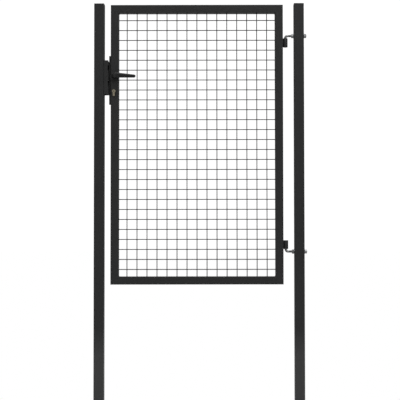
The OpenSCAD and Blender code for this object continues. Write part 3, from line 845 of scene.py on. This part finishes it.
@dataclass
class BoltHinges:
    """Bored barrels welded to the leaf, and the threaded hook bolts in the hinge post."""

    nodes: dict[str, bpy.types.Object]
    palette: Palette
    pin_d: float = 12.0 * MM
    bend_r: float = 12.0 * MM
    barrel_d: float = 24.0 * MM
    bore_r: float = 6.08 * MM
    seat_w: float = 10.0 * MM
    chamfer: float = 1.0 * MM
    thread_pitch: float = 1.75 * MM
    thread_depth: float = 0.95 * MM
    nut_flats: float = 19.0 * MM
    nut_h: float = 10.0 * MM
    washer_r: float = 12.0 * MM
    washer_hole_r: float = 6.5 * MM
    washer_t: float = 2.5 * MM
    bead_r: float = 2.6 * MM
    bead_end: float = 1.5 * MM
    bead_out: float = 1.2 * MM
    bead_side: float = 0.4 * MM
    seat_bite: float = 3.0 * MM
    seat_end: float = 0.5 * MM
    thread_start: float = 1.0 * MM
    nut_bore_fit: float = 0.3 * MM
    nut_lead: float = 0.6 * MM

    def build(self) -> None:
        """Make both hinges."""
        for level, sign in (("upper", 1), ("lower", -1)):
            self.barrel(level)
            self.gudgeon(level, sign)
        self.nuts()
        self.washers()

    def axis_x(self) -> float:
        """X of the hinge axis."""
        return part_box("upper_hinge_barrel")[1].x - self.barrel_d / 2

    def barrel(self, level: str) -> None:
        """Make a barrel with its bore, its weld seat and two beads.

        Args:
            level: upper or lower.
        """
        low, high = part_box(f"{level}_hinge_barrel")
        x = self.axis_x()
        foot = Matrix.Translation((x, 0.0, low.z))
        height = high.z - low.z
        outer = self.barrel_d / 2
        c = self.chamfer
        profile = [(self.bore_r + c / 2, 0.0), (outer - c, 0.0), (outer - 0.3 * c, 0.3 * c),
                   (outer, c), (outer, height - c), (outer - 0.3 * c, height - 0.3 * c),
                   (outer - c, height), (self.bore_r + c / 2, height),
                   (self.bore_r, height - c / 2), (self.bore_r, c / 2)]
        shape = Shape().turn(profile, foot, 64)
        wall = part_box("hinge_stile")[1].x
        half = self.seat_w / 2
        inner = x - outer + self.seat_bite
        ring = [(wall, -half), (inner, -half), (inner, half), (wall, half)]
        shape.loft([[Vector((px, py, z)) for px, py in ring]
                    for z in (low.z + self.seat_end, high.z - self.seat_end)])
        shape.make(f"{level}_barrel", "leaf", Slot.COAT, self.palette.coat,
                   [f"{level}_hinge_barrel"])
        welds = Shape()
        for side in Face:
            y = side.value * (half + self.bead_side)
            px = wall + self.bead_out
            foot_end = Vector((px, y, low.z + self.bead_end))
            head_end = Vector((px, y, high.z - self.bead_end))
            welds.loft(bead_rings(straight(foot_end, head_end), self.bead_r))
        welds.make(f"{level}_barrel_welds", "leaf", Slot.COAT, self.palette.weld)

    def gudgeon(self, level: str, sign: int) -> None:
        """Make a hook bolt: plain pin, bend, and a threaded shank through the post.

        Args:
            level: upper or lower.
            sign: 1 where the pin points down from the shank, -1 where it points up.
        """
        low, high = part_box(f"{level}_gudgeon")
        radius = self.pin_d / 2
        x = low.x + radius
        shank_z = high.z - radius if sign > 0 else low.z + radius
        tip_z = low.z if sign > 0 else high.z
        bend = Vector((x + self.bend_r, 0.0, shank_z - sign * self.bend_r))
        steps = 32
        depth_axis = Vector((0.0, 1.0, 0.0))
        side_axis = Vector((1.0, 0.0, 0.0))
        rings = [circle(Vector((x, 0.0, tip_z)), side_axis, depth_axis, radius - self.chamfer, steps),
                 circle(Vector((x, 0.0, tip_z + sign * self.chamfer)), side_axis, depth_axis,
                        radius, steps)]
        for k in range(17):
            angle = math.pi / 2 * k / 16
            out = Vector((-math.cos(angle), 0.0, sign * math.sin(angle)))
            rings.append(circle(bend + out * self.bend_r, -out, depth_axis, radius, steps))
        start = bend.x + self.thread_start
        rings += self.thread_rings(start, high.x, shank_z, -sign, steps)
        if sign < 0:
            rings.reverse()
        Shape().loft(rings).make(f"{level}_hook_bolt", "posts", Slot.ZINC,
                                 self.palette.by_slot[Slot.ZINC], [f"{level}_gudgeon"])

    def thread_rings(self, start: float, end: float, z: float, up: int, steps: int) -> list[Ring]:
        """Rings of a threaded shank along +X, with a chamfered end.

        Args:
            start: X where the thread starts.
            end: X of the shank's end.
            z: height of the shank.
            up: sign of the first point's direction along Z.
            steps: points round the shank.

        Returns:
            The rings in order.
        """
        radius = self.pin_d / 2
        count = int((end - start) / (self.thread_pitch / 6))
        rings = []
        for i in range(count + 1):
            px = start + (end - start) * i / count
            fade = min(1.0, (px - start) / (2 * self.thread_pitch))
            chamfer = max(0.0, self.chamfer - (end - px))
            ring = []
            for k in range(steps):
                phase = ((px - start) / self.thread_pitch + k / steps) % 1.0
                groove = abs(2.0 * phase - 1.0)
                r = radius - self.thread_depth * fade * min(1.0, 1.25 * groove)
                r = min(r, radius - chamfer)
                angle = math.tau * k / steps
                ring.append(Vector((px, r * math.sin(angle), z + up * r * math.cos(angle))))
            rings.append(ring)
        return rings

    def nut_profile(self, flats: float, height: float, hole_r: float) -> list[tuple[float, float]]:
        """Outline of a nut: a bored disc whose chamfered rims the hexagon cuts.

        Args:
            flats: width across the flats.
            height: height of the nut.
            hole_r: radius of its bore.

        Returns:
            Radius and height of each point.
        """
        corner = flats / 2 / math.cos(math.pi / 6)
        rim = flats / 2 * 0.97
        drop = (corner - rim) * math.tan(math.radians(30))
        rows = [(hole_r + self.nut_lead, 0.0), (rim, 0.0)]
        rows += [(rim + (corner - rim) * k / 4, drop * k / 4) for k in range(1, 5)]
        rows += [(rim + (corner - rim) * k / 4, height - drop * k / 4) for k in range(4, 0, -1)]
        rows += [(rim, height), (hole_r + self.nut_lead, height),
                 (hole_r, height - self.nut_lead), (hole_r, self.nut_lead)]
        return rows

    def post_sides(self, out: float) -> list[Matrix]:
        """Frames beside the hinge post at both shanks, local +Z pointing away from the post.

        Args:
            out: distance from the post's face.

        Returns:
            The frames.
        """
        low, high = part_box("hinge_post")
        frames = []
        for level in ("upper", "lower"):
            box_low, box_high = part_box(f"{level}_gudgeon")
            radius = self.pin_d / 2
            z = box_high.z - radius if level == "upper" else box_low.z + radius
            for x, sign in ((low.x - out, -1), (high.x + out, 1)):
                frames.append(Matrix.Translation((x, 0.0, z))
                              @ Matrix.Rotation(sign * math.pi / 2, 4, "Y"))
        return frames

    def nuts(self) -> None:
        """Make the four nuts, each turned a little differently."""
        shape = Shape()
        bore = self.pin_d / 2 - self.nut_bore_fit
        profile = self.nut_profile(self.nut_flats, self.nut_h, bore)
        for i, frame in enumerate(self.post_sides(self.washer_t)):
            spin = Matrix.Rotation(math.radians(17.0 * i), 4, "Z")
            shape.turn(profile, frame @ spin, 72, reach=hexagon(self.nut_flats))
        shape.make("hook_bolt_nuts", "posts", Slot.ZINC, self.palette.by_slot[Slot.ZINC],
                   ["gudgeon_nuts"], sharp=25.0)

    def washers(self) -> None:
        """Make the four washers with their stamped, slightly round rims."""
        shape = Shape()
        t = self.washer_t
        r = self.washer_r
        hole = self.washer_hole_r
        profile = [(hole, 0.0), (r - 0.2 * MM, 0.0), (r, 0.3 * MM), (r, t - 0.6 * MM),
                   (r - 0.25 * MM, t - 0.15 * MM), (r - 0.8 * MM, t), (hole + 0.4 * MM, t),
                   (hole, t - 0.3 * MM)]
        for frame in self.post_sides(0.0):
            shape.turn(profile, frame, 56)
        shape.make("hook_bolt_washers", "posts", Slot.ZINC, self.palette.by_slot[Slot.ZINC],
                   ["gudgeon_washers"])


@dataclass
class Keeper:
    """The keeper on the latch post: bent channel, strike plate, bolts and welds."""

    nodes: dict[str, bpy.types.Object]
    palette: Palette
    body: str = "posts"
    plate_bevel: float = 0.5 * MM
    bolt_flats: float = 13.0 * MM
    bolt_d: float = 8.0 * MM
    head_h: float = 5.3 * MM
    point: float = 0.8 * MM
    bead_r: float = 1.5 * MM
    bead_len: float = 18.0 * MM
    bead_from_end: float = 22.0 * MM
    bead_in: float = 0.6 * MM
    bead_sunk: float = 0.2 * MM

    def build(self) -> None:
        """Coat the plates, turn the bolts and lay the welds."""
        dress(self.nodes["keeper_channel"], self.palette.coat, self.plate_bevel)
        dress(self.nodes["keeper_strike"], self.palette.coat, self.plate_bevel)
        self.bolts()
        self.welds()

    def bolts(self) -> None:
        """Make the two hexagon bolts."""
        low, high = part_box("keeper_bolts")
        corner = self.bolt_flats / 2 / math.cos(math.pi / 6)
        face = high.x - self.head_h
        shape = Shape()
        radius = self.bolt_d / 2
        rim = self.bolt_flats / 2 * 0.95
        drop = (corner - rim) * math.tan(math.radians(30))
        head = [(AXIS_R, self.head_h), (rim, self.head_h)]
        head += [(rim + (corner - rim) * k / 4, self.head_h - drop * k / 4) for k in range(1, 5)]
        head += [(corner, 0.0), (radius, 0.0), (radius, low.x - face + self.point),
                 (radius - self.point, low.x - face), (AXIS_R, low.x - face)]
        for z in (low.z + corner, high.z - corner):
            frame = Matrix.Translation((face, 0.0, z)) @ Matrix.Rotation(math.pi / 2, 4, "Y")
            shape.turn(list(reversed(head)), frame, 72, loop=False,
                       reach=hexagon(self.bolt_flats))
        shape.make("keeper_hex_bolts", self.body, Slot.ZINC, self.palette.by_slot[Slot.ZINC],
                   ["keeper_bolts"], sharp=25.0)

    def welds(self) -> None:
        """Lay short beads that hold the strike plate between the channel's flanges."""
        low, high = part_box("keeper_strike")
        shape = Shape()
        length = self.bead_len
        for y in (low.y + self.bead_in, high.y - self.bead_in):
            for z in (low.z + self.bead_from_end, high.z - self.bead_from_end - length):
                start = Vector((low.x - self.bead_sunk, y, z))
                shape.loft(bead_rings(straight(start, start + Vector((0.0, 0.0, length))),
                                      self.bead_r))
        shape.make("keeper_welds", self.body, Slot.COAT, self.palette.weld)


@dataclass
class Lock:
    """The lock in the latch stile: pad, forend, case, bolts, springs and cylinder."""

    nodes: dict[str, bpy.types.Object]
    palette: Palette
    body: str = "leaf"
    edge: float = 0.4 * MM
    screw_d: float = 5.0 * MM
    head_d: float = 9.0 * MM
    recess_r: float = 1.9 * MM
    recess_depth: float = 1.6 * MM
    screw_taper: float = 0.6 * MM
    screw_point: float = 0.8 * MM
    head_edge: float = 0.12 * MM
    recess_lip: float = 0.15 * MM
    wire_d: float = 0.9 * MM
    spring_turns: int = 8
    spring_room: float = 0.15 * MM
    latch_travel: float = 12.0 * MM
    return_wire_d: float = 1.2 * MM
    return_turns: int = 3
    return_room: float = 0.02 * MM
    pad_bead_r: float = 1.9 * MM
    pad_bead_len: float = 26.0 * MM
    pad_bead_count: int = 4
    pad_bead_side: float = 0.3 * MM
    pad_bead_sunk: float = 0.4 * MM

    def build(self) -> None:
        """Dress the plates and the bolts, and make the screws and springs."""
        coat = self.palette.coat
        steel = self.palette.by_slot[Slot.STEEL]
        nickel = self.palette.by_slot[Slot.NICKEL]
        dress(self.nodes["lock_pad"], coat, self.edge)
        dress(self.nodes["forend"], coat, self.edge)
        for name in ("lock_case", "lock_case_lid", "case_rivets", "rose_bases", "rose_screws",
                     "spindle", "follower", "latch_bolt", "deadbolt", "cylinder_cam"):
            dress(self.nodes[name], steel, self.edge / 2)
        for name in ("cylinder_body", "front_plug", "rear_plug"):
            dress(self.nodes[name], nickel, self.edge / 2)
        self.screws()
        self.latch_spring()
        self.return_springs()
        self.pad_welds()

    def star(self, radius: float, angle: float) -> float:
        """Radius of a six-lobed recess at an angle."""
        return radius * (1.0 + 0.12 * math.cos(6 * angle))

    def screw(self, shape: Shape, face: Vector, length: float) -> None:
        """Add a countersunk screw with a six-lobed recess.

        Args:
            shape: the mesh that it joins.
            face: the middle of its head.
            length: its whole length.
        """
        frame = Matrix.Translation(face) @ Matrix.Rotation(math.pi / 2, 4, "Y")
        head = self.head_d / 2
        shank = self.screw_d / 2
        cone = head - shank
        profile = [(AXIS_R, length), (shank - self.screw_taper, length), (shank, length - self.screw_point),
                   (shank, cone), (head - 0.1 * MM, self.head_edge), (head - 0.25 * MM, 0.0),
                   (self.recess_r + self.recess_lip, 0.0), (self.recess_r, self.recess_lip),
                   (self.recess_r * 0.9, self.recess_depth), (AXIS_R, self.recess_depth * 1.1)]

        def reach(radius: float, angle: float) -> float:
            """Shape the recess's rings into lobes and leave the rest round."""
            return self.star(radius, angle) if radius < self.recess_r * 1.1 else radius
        shape.turn(list(reversed(profile)), frame, 48, loop=False, reach=reach)

    def screws(self) -> None:
        """Make the forend's screws and the cylinder's long screw."""
        zinc = self.palette.by_slot[Slot.ZINC]
        low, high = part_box("forend_screws")
        shape = Shape()
        for z in (low.z + self.head_d / 2, high.z - self.head_d / 2):
            self.screw(shape, Vector((low.x, 0.0, z)), high.x - low.x)
        shape.make("forend_screw_pair", self.body, Slot.ZINC, zinc, ["forend_screws"])
        low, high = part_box("cylinder_screw")
        shape = Shape()
        self.screw(shape, Vector((low.x, 0.0, (low.z + high.z) / 2)), high.x - low.x)
        shape.make("cylinder_fixing_screw", self.body, Slot.ZINC, zinc, ["cylinder_screw"])

    def coil(self, shape: Shape, frame: Matrix, radius: float, wire: float, length: float,
             turns: int) -> None:
        """Add a coil spring along the frame's +Z.

        Args:
            shape: the mesh that it joins.
            frame: the frame at the spring's first end.
            radius: the coil's middle radius.
            wire: diameter of the wire.
            length: length of the spring over its wire.
            turns: how many turns it has.
        """
        steps = 28
        rings = []
        total = turns * steps
        for i in range(total + 1):
            angle = math.tau * i / steps
            out = Vector((math.cos(angle), math.sin(angle), 0.0))
            z = wire / 2 + (length - wire) * i / total
            centre = out * radius + Vector((0.0, 0.0, z))
            ring = circle(centre, Vector((0.0, 0.0, 1.0)), out, wire / 2, 12)
            rings.append([frame @ p for p in ring])
        shape.loft(rings)

    def latch_spring(self) -> None:
        """Wind the spring behind the latch, on a mesh of its own."""
        low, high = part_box("latch_spring")
        centre = (low + high) / 2
        start = Vector((low.x + self.spring_room, centre.y, centre.z))
        frame = Matrix.Translation(start) @ Matrix.Rotation(math.pi / 2, 4, "Y")
        shape = Shape()
        radius = (high.z - low.z - self.wire_d) / 2
        length = high.x - start.x
        self.coil(shape, frame, radius, self.wire_d, length, self.spring_turns)
        spring = shape.make("latch_coil_spring", self.body, Slot.STEEL,
                            self.palette.by_slot[Slot.STEEL], ["latch_spring"])
        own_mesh(spring)

    def return_springs(self) -> None:
        """Wind the springs that stand up the levers, one in each rose."""
        low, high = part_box("return_springs")
        centre = (low + high) / 2
        radius = (high.x - low.x - self.return_wire_d) / 2
        shape = Shape()
        rose_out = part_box("rose_bases")[1].y
        for side in Face:
            start = side.value * (rose_out + self.return_room)
            length = high.y - abs(start)
            frame = (Matrix.Translation((centre.x, start, centre.z))
                     @ Matrix.Rotation(-side.value * math.pi / 2, 4, "X"))
            self.coil(shape, frame, radius, self.return_wire_d, length, self.return_turns)
        shape.make("lever_return_springs", self.body, Slot.STEEL,
                   self.palette.by_slot[Slot.STEEL], ["return_springs"])

    def pad_welds(self) -> None:
        """Lay the beads that hold the pad on the stile, in short runs down both sides."""
        low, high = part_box("lock_pad")
        shape = Shape()
        run = self.pad_bead_len
        gap = (high.z - low.z - run) / (self.pad_bead_count - 1)
        for side in Face:
            y = side.value * ((high.y - low.y) / 2 + self.pad_bead_side)
            for i in range(self.pad_bead_count):
                start = Vector((high.x - self.pad_bead_sunk, y, low.z + gap * i))
                end = start + Vector((0.0, 0.0, run))
                shape.loft(bead_rings(straight(start, end), self.pad_bead_r))
        shape.make("lock_pad_welds", self.body, Slot.COAT, self.palette.weld)


@dataclass
class LeverSet:
    """The roses on both faces of the leaf, the front lever and the rear knob."""

    nodes: dict[str, bpy.types.Object]
    palette: Palette
    rose_r: float = 20.0 * MM
    rose_h: float = 10.0 * MM
    rose_edge: float = 2.6 * MM
    bush_r: float = 10.1 * MM
    rose_wall: float = 1.5 * MM
    neck_r: float = 8.0 * MM
    reach: float = 36.0 * MM
    elbow_r: float = 15.0 * MM
    length: float = 111.0 * MM
    root_h: float = 26.0 * MM
    tip_h: float = 15.5 * MM
    depth: float = 12.0 * MM
    low: float = 9.0 * MM
    knob_r: float = 18.0 * MM
    knob_start: float = 22.0 * MM
    knob_t: float = 20.0 * MM
    knob_edge: float = 4.5 * MM
    screw_out: float = 16.0 * MM
    knob_waist: float = 2.0 * MM
    knob_crown: float = 0.8 * MM
    screw_r: float = 2.4 * MM
    socket_r: float = 1.25 * MM
    socket_depth: float = 1.8 * MM
    socket_point: float = 2.2 * MM
    socket_lip: float = 0.15 * MM
    bush_rim: float = 3.4 * MM
    bush_rim_drop: float = 0.35 * MM
    rose_corner: float = 0.8 * MM

    def build(self) -> None:
        """Make the roses, the lever and the knob."""
        dress(self.nodes["rose_bushes"], self.palette.by_slot[Slot.BUSH])
        self.roses()
        self.lever()
        self.knob()
        self.grub_screws()

    def frame(self, side: Face) -> Matrix:
        """The lever's frame on a face: local +X along the grip, +Y up, +Z away from the leaf.

        Args:
            side: the face.

        Returns:
            The frame, at the lever's axis on the stile's surface.
        """
        axis = middle("spindle")
        y = side.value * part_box("latch_stile")[1].y
        out = Vector((0.0, float(side.value), 0.0))
        along = Vector((1.0, 0.0, 0.0))
        up = Vector((0.0, 0.0, 1.0))
        basis = Matrix((along, up, out)).transposed().to_4x4()
        return Matrix.Translation((axis.x, y, axis.z)) @ basis

    def roses(self) -> None:
        """Press the two round covers."""
        shape = Shape()
        r, h, e, w = self.rose_r, self.rose_h, self.rose_edge, self.rose_wall
        arc = [(r - e + e * math.cos(a), h - e + e * math.sin(a))
               for a in (math.pi / 2 * k / 6 for k in range(7))]
        profile = [(r - w, 0.0), (r - 0.2 * MM, 0.0), (r, 0.2 * MM)] + arc
        drop = h - self.bush_rim_drop
        profile += [(self.bush_r + self.bush_rim, h), (self.bush_r + 3.0 * MM, drop),
                    (self.bush_r + 0.3 * MM, drop), (self.bush_r, h - 0.6 * MM),
                    (self.bush_r, h - w), (r - w - self.rose_corner, h - w),
                    (r - w, h - w - self.rose_corner)]
        for side in Face:
            shape.turn(profile, self.frame(side), 72)
        shape.make("round_roses", "leaf", Slot.MOULDED, self.palette.by_slot[Slot.MOULDED],
                   ["rose_covers"])

    def section(self, centre: Vector, across: Vector, half_h: float, half_d: float,
                power: float, rise: float) -> Ring:
        """One cross-section of the lever, a rounded rectangle to a power.

        Args:
            centre: the section's middle on the lever's path.
            across: unit vector across the depth of the lever.
            half_h: half its height.
            half_d: half its depth.
            power: 2 is an ellipse, and more is squarer.
            rise: how far its middle stands above the path.

        Returns:
            The ring.
        """
        steps = 40
        ring = []
        up = Vector((0.0, 1.0, 0.0))
        for k in range(steps):
            angle = math.tau * k / steps
            c, s = math.cos(angle), math.sin(angle)
            u = math.copysign(abs(c) ** (2.0 / power), c) * half_d
            v = math.copysign(abs(s) ** (2.0 / power), s) * half_h + rise
            ring.append(centre + across * u + up * v)
        return ring

    def lever_rings(self) -> list[Ring]:
        """Section the lever from its neck, round the elbow and along the grip to its tip.

        Returns:
            The rings in order.
        """
        rings = []
        elbow_start = self.reach - self.elbow_r
        out = Vector((0.0, 0.0, 1.0))
        along = Vector((1.0, 0.0, 0.0))
        root_rise = self.root_h / 2 - self.low
        tip_rise = self.tip_h / 2 - self.low

        def ease(t: float) -> float:
            """Smooth a share from 0 to 1."""
            return t * t * (3.0 - 2.0 * t)
        for z in (0.3 * MM, 1.0 * MM, 11.0 * MM, 13.0 * MM, elbow_start):
            flare = 0.25 * MM if z < 0.5 * MM else 0.0
            rings.append(self.section(out * z, -along, self.neck_r - flare,
                                      self.neck_r - flare, 2.0, 0.0))
        turns = 14
        for k in range(1, turns + 1):
            angle = math.pi / 2 * k / turns
            t = ease(k / turns)
            centre = (out * (elbow_start + self.elbow_r * math.sin(angle))
                      + along * self.elbow_r * (1.0 - math.cos(angle)))
            across = -along * math.cos(angle) + out * math.sin(angle)
            rings.append(self.section(centre, across,
                                      self.neck_r + (self.root_h / 2 - self.neck_r) * t,
                                      self.neck_r + (self.depth / 2 - self.neck_r) * t,
                                      2.0 + 0.7 * t, root_rise * t))
        start = self.elbow_r
        tip_round = self.tip_h * 0.55
        end = self.length - tip_round
        count = 12
        for k in range(1, count + 1):
            t = k / count
            x = start + (end - start) * t
            half_h = self.root_h / 2 + (self.tip_h - self.root_h) / 2 * t
            rise = root_rise + (tip_rise - root_rise) * t
            half_d = self.depth / 2 * (1.0 - 0.12 * t)
            rings.append(self.section(along * x + out * self.reach, out, half_h, half_d, 2.7, rise))
        for k in range(1, 9):
            angle = math.pi / 2 * k / 8.4
            x = end + tip_round * math.sin(angle)
            share = max(0.06, math.cos(angle)) ** 0.85
            rings.append(self.section(along * x + out * self.reach, out, self.tip_h / 2 * share,
                                      self.depth / 2 * 0.88 * share, 2.5, tip_rise))
        return rings

    def knob(self) -> None:
        """Turn the rear knob: neck, waist and a softly edged, slightly domed disc."""
        r, e = self.knob_r, self.knob_edge
        start, end = self.knob_start, self.knob_start + self.knob_t
        profile = [(AXIS_R, 0.3 * MM), (self.neck_r - 0.3 * MM, 0.3 * MM),
                   (self.neck_r, 0.6 * MM), (self.neck_r, start - self.knob_waist)]
        waist = [(self.neck_r + self.knob_waist * (1.0 - math.cos(a)),
                  start - self.knob_waist + self.knob_waist * math.sin(a))
                 for a in (math.pi / 2 * k / 5 for k in range(1, 6))]
        back = [(r - e + e * math.sin(a), start + e - e * math.cos(a))
                for a in (math.pi / 2 * k / 8 for k in range(9))]
        front = [(r - e + e * math.cos(a), end - e - self.knob_crown + e * math.sin(a))
                 for a in (math.pi / 2 * k / 8 for k in range(9))]
        dome = [((r - e) * share, end - self.knob_crown * share * share)
                for share in (0.7, 0.35, 0.001)]
        Shape().turn(profile + waist + back + front + dome, self.frame(Face.REAR), 72,
                     loop=False).make("rear_moulded_knob", "handle", Slot.MOULDED,
                                      self.palette.by_slot[Slot.MOULDED], ["rear_knob"])

    def lever(self) -> None:
        """Mould the front lever."""
        frame = self.frame(Face.FRONT)
        rings = [list(reversed([frame @ p for p in ring])) for ring in self.lever_rings()]
        piece = Shape().loft(rings).make("front_moulded_lever", "handle", Slot.MOULDED,
                                         self.palette.by_slot[Slot.MOULDED], ["front_lever"],
                                         sharp=60.0)
        smooth = piece.modifiers.new("smooth", "SUBSURF")
        smooth.levels = 1
        smooth.render_levels = 1

    def grub_screws(self) -> None:
        """Make the socket screws that clamp the lever and the knob on the spindle."""
        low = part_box("lever_screws")[0]
        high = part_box("lever_screws")[1]
        axis = middle("spindle")
        radius = self.screw_r
        socket = self.socket_r
        height = high.z - low.z
        profile = [(AXIS_R, height), (radius - 0.5 * MM, height), (radius, height - 0.5 * MM),
                   (radius, 0.3 * MM), (radius - 0.3 * MM, 0.0),
                   (socket + self.socket_lip, 0.0), (socket, self.socket_lip),
                   (socket, self.socket_depth), (AXIS_R, self.socket_point)]
        shape = Shape()

        def reach(r: float, angle: float) -> float:
            """Shape the socket into a hexagon and leave the rest round.

            Args:
                r: radius of the ring.
                angle: the angle on it.

            Returns:
                The radius there.
            """
            if r > socket * 1.01:
                return r
            off = (angle + math.pi / 6) % (math.pi / 3) - math.pi / 6
            return min(r * 1.1547, r / math.cos(off))
        for side in Face:
            y = side.value * (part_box("latch_stile")[1].y + self.screw_out)
            frame = Matrix.Translation((axis.x, y, low.z))
            shape.turn(list(reversed(profile)), frame, 36, loop=False, reach=reach)
        shape.make("lever_grub_screws", "handle", Slot.STEEL, self.palette.by_slot[Slot.STEEL],
                   ["lever_screws"])


# ---- Studio ----


@dataclass
class Studio:
    """White floor and surroundings, soft lights and the camera."""

    floor_size: float = 400.0
    lit_strength: float = 0.30
    seen_strength: float = 1.05
    overhead_power: float = 380.0
    key_power: float = 34.0
    fill_power: float = 12.0
    sensor: float = 36.0
    far: float = 200.0
    eye: tuple[float, float, float] = (0.1126, -5.157, 0.782)
    pitch: float = 1.552
    yaw: float = 0.097
    roll: float = -0.076
    lens: float = 92.85
    shift: tuple[float, float] = (-0.05, 0.0464)

    def build(self) -> None:
        """Set up the whole studio."""
        self.floor()
        self.surroundings()
        self.lights()
        self.camera()

    def floor(self) -> None:
        """Lay the floor."""
        half = self.floor_size / 2
        mesh = bpy.data.meshes.new("floor")
        mesh.from_pydata([(-half, -half, 0), (half, -half, 0), (half, half, 0), (-half, half, 0)],
                         [], [(0, 1, 2, 3)])
        floor = bpy.data.objects.new("floor", mesh)
        bpy.context.scene.collection.objects.link(floor)
        mesh.materials.append(StudioWhite().build())

    def surroundings(self) -> None:
        """White all round: full white where it is seen, dimmer where it lights the gate."""
        world = bpy.data.worlds.new("studio")
        bpy.context.scene.world = world
        world.use_nodes = True
        tree = world.node_tree
        tree.nodes.clear()
        seen = tree.nodes.new("ShaderNodeBackground")
        seen.inputs["Color"].default_value = (1.0, 1.0, 1.0, 1.0)
        seen.inputs["Strength"].default_value = self.seen_strength
        lit = tree.nodes.new("ShaderNodeBackground")
        lit.inputs["Color"].default_value = (1.0, 1.0, 1.0, 1.0)
        lit.inputs["Strength"].default_value = self.lit_strength
        ray = tree.nodes.new("ShaderNodeLightPath")
        mix = tree.nodes.new("ShaderNodeMixShader")
        out = tree.nodes.new("ShaderNodeOutputWorld")
        tree.links.new(ray.outputs["Is Camera Ray"], mix.inputs[0])
        tree.links.new(lit.outputs[0], mix.inputs[1])
        tree.links.new(seen.outputs[0], mix.inputs[2])
        tree.links.new(mix.outputs[0], out.inputs["Surface"])

    def soft_box(self, name: str, place: tuple[float, float, float],
                 aim: tuple[float, float, float], size: float, power: float) -> None:
        """Hang one soft light.

        Args:
            name: its name.
            place: where it hangs.
            aim: the point that it faces.
            size: side of its square.
            power: its power in watts.
        """
        light = bpy.data.lights.new(name, "AREA")
        light.size = size
        light.energy = power
        lamp = bpy.data.objects.new(name, light)
        lamp.location = place
        direction = Vector(aim) - Vector(place)
        lamp.rotation_euler = direction.to_track_quat("-Z", "Y").to_euler()
        bpy.context.scene.collection.objects.link(lamp)

    def lights(self) -> None:
        """Hang the overhead light, the key and the fill."""
        self.soft_box("overhead", (0.0, 0.0, 6.0), (0.0, 0.0, 0.0), 8.0, self.overhead_power)
        self.soft_box("key", (3.0, -4.0, 3.6), (0.0, 0.0, 1.2), 1.6, self.key_power)
        self.soft_box("fill", (-3.5, -3.5, 1.6), (0.0, 0.0, 1.2), 2.4, self.fill_power)

    def camera(self) -> None:
        """Stand the camera in front of the gate, a little right of its middle."""
        data = bpy.data.cameras.new("camera")
        data.sensor_width = self.sensor
        data.lens = self.lens
        data.shift_x, data.shift_y = self.shift
        data.clip_end = self.far
        camera = bpy.data.objects.new("camera", data)
        upright = Matrix.Rotation(math.radians(self.yaw), 4, "Z")
        tilt = Matrix.Rotation(math.radians(90.0 + self.pitch), 4, "X")
        level = Matrix.Rotation(math.radians(self.roll), 4, "Z")
        camera.matrix_world = Matrix.Translation(self.eye) @ upright @ tilt @ level
        bpy.context.scene.collection.objects.link(camera)
        bpy.context.scene.camera = camera
        bpy.context.scene.view_settings.view_transform = "Standard"
        bpy.context.scene.view_settings.look = "None"


def main() -> None:
    """Build the gate's looks in order."""
    logging.basicConfig(level=logging.INFO)
    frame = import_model()
    nodes = frame["nodes"]
    Studio().build()
    palette = Palette()
    for part in (Posts(nodes, palette), Leaf(nodes, palette), BoltHinges(nodes, palette),
                 Keeper(nodes, palette), Lock(nodes, palette), LeverSet(nodes, palette)):
        known = set(bpy.data.objects.keys())
        part.build()
        for name in sorted(set(bpy.data.objects.keys()) - known):
            LOG.info("%s made %s", type(part).__name__, name)


if __name__ == "__main__":
    main()
